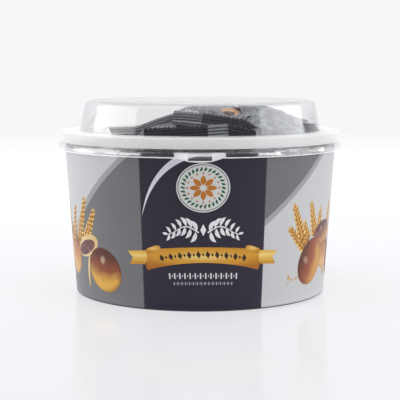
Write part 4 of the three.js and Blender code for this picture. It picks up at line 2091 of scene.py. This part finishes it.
@dataclass
class Packet:
    """A cookie sealed in a flow-wrap film: a crinkled pillow with a ridged, toothed crimp each end.

    It lies where its CAD node does: `at` is its middle, `yaw` the way its front end points,
    `pitch` how far that end dips and `roll` how far its left-hand edge rises, in degrees.
    `front` and `back` are how far its crimps bend up, and `fold_drop` how far the front one's
    corner past `fold_at` hangs down.
    """

    part: str
    at: tuple[float, float, float]
    yaw: float
    pitch: float
    roll: float
    front: float
    back: float
    film: Film
    seed: int
    fold_at: float = 2.0
    fold_drop: float = 0.0
    body_half: float = 31.0
    crimp: float = 10.0
    crimp_half: float = 33.0
    half_width: float = 27.0
    crown: float = 10.2
    film_half: float = 0.16
    ridge_pitch: float = 2.0
    ridge: float = 0.6
    tooth: float = 1.1
    fin: float = 0.4
    creases: tuple[float, ...] = (26.0, 17.0, 11.0, 7.5)
    crease_depth: float = 0.036
    gather_reach: float = 7.5
    gather_height: float = 1.5
    off_print: float = 150.0
    picture: Pair = (0.17, -0.16)
    panel: Pair = (0.7, 0.9)
    face_up: bool = False
    teeth: int = 24
    body_rows: int = 40
    crimp_rows: int = 20

    def crinkles(self, x: np.ndarray, y: np.ndarray, top: bool) -> np.ndarray:
        """Give the height of the film's sharp creases and soft dents at places on it.

        Args:
            x: How far along the packet.
            y: How far across it.
            top: Whether this is its upper side.

        Returns:
            The heights.
        """
        chance = np.random.default_rng(self.seed * 2 + int(top))
        height = np.zeros_like(x)
        for length in self.creases:
            way = chance.uniform(0, math.pi)
            shift = chance.uniform(0, 2 * math.pi, 2)
            run = (x * math.cos(way) + y * math.sin(way)) / length * math.pi
            wave = np.sin(run + shift[0] + 0.6 * np.sin(y / 13.0 + shift[1]))
            height += (0.62 - np.abs(wave)) * length * self.crease_depth
        return height

    def gathers(self, x: np.ndarray, across: np.ndarray, top: bool) -> np.ndarray:
        """Give the height of the folds that run out from each crimp's root.

        Args:
            x: How far along the packet.
            across: How far across it, from -1 to 1.
            top: Whether this is its upper side.

        Returns:
            The heights.
        """
        chance = np.random.default_rng(self.seed * 7 + int(top))
        from_root = self.body_half - np.abs(x)
        fade = np.exp(-from_root / self.gather_reach) * (1 - np.exp(-from_root / 1.4))
        shift = np.where(x > 0, *chance.uniform(0, 2 * math.pi, 2))
        folds = np.abs(np.sin(across * 11.0 + shift)) + 0.5 * np.sin(across * 19.0 + shift * 2)
        return (folds - 0.6) * self.gather_height * fade

    def grid(self) -> tuple[np.ndarray, np.ndarray, np.ndarray]:
        """Lay out one side of the film flat, before it swells.

        Returns:
            How far along the body, how far across from -1 to 1, and how far past the body.
        """
        reach = np.linspace(self.crimp, 0, self.crimp_rows, endpoint=False)
        ends = np.full(self.crimp_rows, self.body_half)
        body = np.sin(np.linspace(-math.pi / 2, math.pi / 2, self.body_rows + 1)) * self.body_half
        past = np.concatenate([reach, np.zeros(self.body_rows + 1), reach[::-1]])
        across = np.linspace(-1, 1, self.teeth * 4 + 1)
        x, across = np.meshgrid(np.concatenate([-ends, body, ends]), across, indexing="ij")
        return x, across, np.repeat(past[:, None], x.shape[1], axis=1)

    def layer(self, top: bool) -> np.ndarray:
        """Shape one side of the film, in the packet's own frame.

        Args:
            top: Whether it is the upper side.

        Returns:
            A grid of places, each with its place on the printed pattern after it.
        """
        x, across, past = self.grid()
        body, crimped, sign = past == 0, np.clip(past / 3.0, 0, 1), np.sign(x)
        inside = np.abs(x) / self.body_half
        swell = np.clip(1 - inside**2.6, 0, 1) ** 0.75
        y = across * (self.crimp_half - (self.crimp_half - self.half_width) * (1 - inside**3))
        bulge = np.clip(1 - np.abs(across) ** 2.6, 0, 1) ** 0.6
        relief = self.crinkles(x, y, top) * swell**0.5 * bulge
        relief += self.gathers(x, across, top) * bulge
        thick = np.maximum(self.film_half + bulge * swell * self.crown + relief, self.film_half)
        if not top:
            thick = thick + np.clip(1.6 - np.abs(y) / 3.5, 0, 1) * self.fin * body
        tooth = np.abs((across * self.teeth) % 2 - 1) * self.tooth
        past = past - tooth * (past / self.crimp) ** 8
        lean = np.radians(np.where(x > 0, self.front, self.back)) * crimped
        lift = np.abs((past / self.ridge_pitch + 0.5) % 1.0 * 2 - 1) * self.ridge
        lift = lift * np.clip(past, 0, 1) + np.sin(across * 3.3 + self.seed) * 0.09 * past
        turned = np.maximum((across - self.fold_at) * np.sign(self.fold_drop), 0)
        drop = turned * self.fold_drop * (past > 0) * (x > 0)
        out = sign * (past * np.cos(lean) - np.sin(lean) * lift)
        up = past * np.sin(lean) + lift * np.cos(lean) - drop * np.clip(past / 5, 0, 1)
        unprinted = 0.0 if top == self.face_up else self.off_print * body
        places = [x + out, y, (1.0 if top else -1.0) * thick + up]
        return np.stack([*places, x + sign * past, y + unprinted], axis=-1)

    def mesh(self, room: Room | None) -> Mesh:
        """Build the packet, placed, kept in the room, and closed all round.

        Args:
            room: The room it is kept in, if any.

        Returns:
            The packet.
        """
        sheets = np.stack([self.layer(True), self.layer(False)])
        turn = Euler([math.radians(a) for a in (self.roll, self.pitch, self.yaw)], "XYZ")
        places = sheets[..., :3].reshape(-1, 3) @ np.array(turn.to_matrix()).T + np.array(self.at)
        if room is not None:
            places = room.confine(places)
        made = closed_sheets(self.part, places.reshape(*sheets.shape[:3], 3))
        layer = made.uv_layers.new(name="UVMap")
        corners = np.zeros(len(made.loops), np.int32)
        made.loops.foreach_get("vertex_index", corners)
        pattern = sheets[..., 3:].reshape(-1, 2)[corners] / PATTERN_UNIT
        layer.data.foreach_set("uv", pattern.astype(np.float32).ravel())
        made.polygons.foreach_set("use_smooth", np.ones(len(made.polygons), bool))
        made.set_sharp_from_angle(angle=FILM_CREASE)
        return made

    def finish(self) -> PacketFilm:
        """Give the packet's film."""
        return PacketFilm(f"{self.part}_film", self.film, self.picture, self.panel)

    def build(self, room: Room) -> None:
        """Build the packet in place of its CAD node.

        Args:
            room: The room it is kept in.
        """
        name = self.part.replace("packet_", "wrapped_cookie_")
        slot = self.film.value[-1]
        piece(name, self.mesh(room), slot, self.part, finish=self.finish())


@cache
def heap_tree() -> NodeTree:
    """Make the tree that lays packets in rings, each turned and tipped by chance.

    Returns:
        A tree whose start mesh is one packet lying at the origin.
    """
    tree = GeometryTree("Ring of packets", ("Count", "Seed"), ("Radius", "Up", "Tip"))
    x, y, _ = tree.position()
    tip, rise = tree.input("Tip"), 4.0 * MM
    place = tree.vector(x, y, tree.input("Up") + tree.chance(0.0, -rise, rise))
    turn = tree.vector(
        tree.chance(1.0, -1.0, 1.0) * tip,
        tree.chance(2.0, -1.0, 1.0) * tip,
        y.angle(x) + tree.chance(3.0, -0.7, 0.7),
    )
    return tree.close(tree.copies(tree.moved(tree.circle(), place), turn))


@dataclass
class Heap:
    """The packets under the ones that show, laid in rings round a plain dark core.

    Each of `rings` has its count, radius, height, tip in radians and seed.
    """

    room: Room
    rings: tuple[tuple[int, float, float, float, int], ...] = (
        (8, 48.0, 60.0, 0.4, 3),
        (3, 18.0, 66.0, 0.3, 5),
        (8, 42.0, 14.0, 0.12, 8),
        (2, 14.0, 14.5, 0.1, 13),
    )
    core: tuple[Pair, ...] = (
        (0.0, 10.0), (49.0, 10.0), (55.0, 16.0), (58.0, 52.0), (33.0, 62.0), (0.0, 64.0),
    )
    highest: float = 78.0

    def build(self) -> None:
        """Build the rings of packets and the core as one piece."""
        coarse = {"teeth": 12, "body_rows": 20, "crimp_rows": 10}
        pattern = Packet("heap_packet", (0, 0, 0), 0, 0, 0, 12, -10, Film.GREY, 31, **coarse)
        finish = pattern.finish()
        meshes = [Shell(self.room.wall, 64).turned("heap_core", list(self.core), finish)]
        for count, radius, up, tip, seed in self.rings:
            inputs = {"Count": count, "Radius": radius * MM, "Up": up * MM}
            inputs |= {"Tip": tip, "Seed": seed}
            start = pattern.mesh(None)
            meshes.append(shape_with_tree("heap_ring", start, heap_tree(), inputs, finish))
        mesh = joined("packets_below", meshes)
        places = np.zeros(len(mesh.vertices) * 3, np.float32)
        mesh.vertices.foreach_get("co", places)
        kept = self.room.confine(places.reshape(-1, 3).astype(float) / MM, self.highest) * MM
        mesh.vertices.foreach_set("co", kept.astype(np.float32).ravel())
        mesh.set_sharp_from_angle(angle=FILM_CREASE)
        piece("wrapped_cookies_below", mesh, "grey_film", "packets_below")


PACKETS = (
    Packet("packet_top", (13, -8, 107.8), -90, 5, -6, 62, -20, Film.GREY, 3, 0.45, 16.0,
           half_width=27.5, crimp_half=30, picture=(0.25, 0.1), panel=(-0.7, -0.25), face_up=True),
    Packet("packet_front", (0, -35.5, 80.3), -90, -38, 4, 34, 0, Film.DARK, 5, 0.5, 12.0,
           panel=(0.1, 0.34)),
    Packet("packet_front_right", (47.5, -34, 98), -86, 32, -19, 0, -25, Film.LIGHT, 8,
           half_width=20.5, crimp_half=25),
    Packet("packet_front_left", (-10, -28, 97.5), 178, 2, -8, 0, 0, Film.SHADED, 12),
    Packet("packet_left", (-25.5, 29, 97.5), -96, -5, 21, 50, 0, Film.DARK_UNDER_PAINTED_REFLECTION, 14, -0.3, -10.0,
           half_width=23, crimp_half=26, panel=(-0.6, -0.22)),
    Packet("packet_right", (44, 14, 98), -66, -6, -6, 45, 0, Film.DARK, 17, 0.45, 14.0),
    Packet("packet_back", (35, 38, 98), 172, 4, 0, 15, 45, Film.LIGHT, 21),
    Packet("packet_back_left", (-42, 42, 80), 135, 4, 8, 0, 10, Film.GREY, 23, face_up=True),
    Packet("packet_back_right", (38, 40, 82), 40, 8, 10, 0, 0, Film.DARK, 26, face_up=True),
    Packet("packet_left_low", (-48, -12, 84), -84, 4, 10, 12, 5, Film.LIGHT, 29),
    Packet("packet_right_low", (48, -12, 80), -96, 2, -12, 18, 0, Film.GREY, 33),
)


# ---------- the pack ----------


def main() -> None:
    """Build the studio and the pack, in order."""
    logging.basicConfig(level=logging.INFO, format="%(name)s: %(message)s")
    wall = Wall()
    Studio().build(FloorPaint("studio_floor"))
    skirt_gleam = Band(91.7, 95.4, 88.0, 90.6, sheen=0.22, gap=14.5)
    # painted highlight: a thin white milky line along the skirt's rounded lower edge
    painted_skirt_highlight = Band(91.0, 91.75, 88.4, 90.6, milk=0.55, tone="ececea", gap=14.0)
    Tub(wall).build(ClearPlastic("clear_tub_plastic", (skirt_gleam, painted_skirt_highlight)))
    # painted reflection: the tab's top plate is milky grey, as it looks mirroring the sky above
    painted_plate_reflection = Band(92.95, 95.5, 90.5, 98.6, milk=0.5, tone="c4c4c9")
    # painted reflection: the tab's side facets are milky white, as they look mirroring the side
    # lights
    painted_side_reflection = Band(89.0, 94.4, 86.0, 98.6, milk=0.55, tone="cfcfd4", gap=6.8)
    # painted highlight: a white milky line along the tab's lower edge
    painted_tab_highlight = Band(89.0, 90.35, 94.8, 97.6, milk=0.7, tone="d8d8da", soft=0.2)
    TearTab().build(ClearPlastic("clear_tab_plastic", (painted_plate_reflection, painted_side_reflection, painted_tab_highlight), 0.02))
    # the rim and flange bands are milky and glow in their tone: painted light that keeps them
    # bright in shade
    rim = Band(96.0, 103.3, 84.0, 88.6, milk=0.6, tone="d4d4d3")
    flange = Band(102.0, 103.3, 76.9, 84.0, milk=0.45, tone="d8d8d7")
    # painted shade: a grey milky line on the stacking ring stands in for the dark line its groove
    # shows
    painted_ring_shade = Band(120.6, 122.0, 67.6, 69.2, milk=0.3, tone="85878b", soft=0.8)
    Lid(wall).build(ClearPlastic("clear_lid_plastic", (rim, flange, painted_ring_shade)))
    per_degree = wall.middle_radius * math.pi / 180
    Label(wall, segments=256).build(WrapPrint("wrap_print", Artwork.centre, per_degree))
    for artwork in (Swoosh, Badge, Flourish, Ribbon, Captions, Bakery):
        artwork(wall).build()
    room = Room(wall)
    for packet in PACKETS:
        packet.build(room)
    Heap(room).build()


if __name__ == "__main__":
    main()
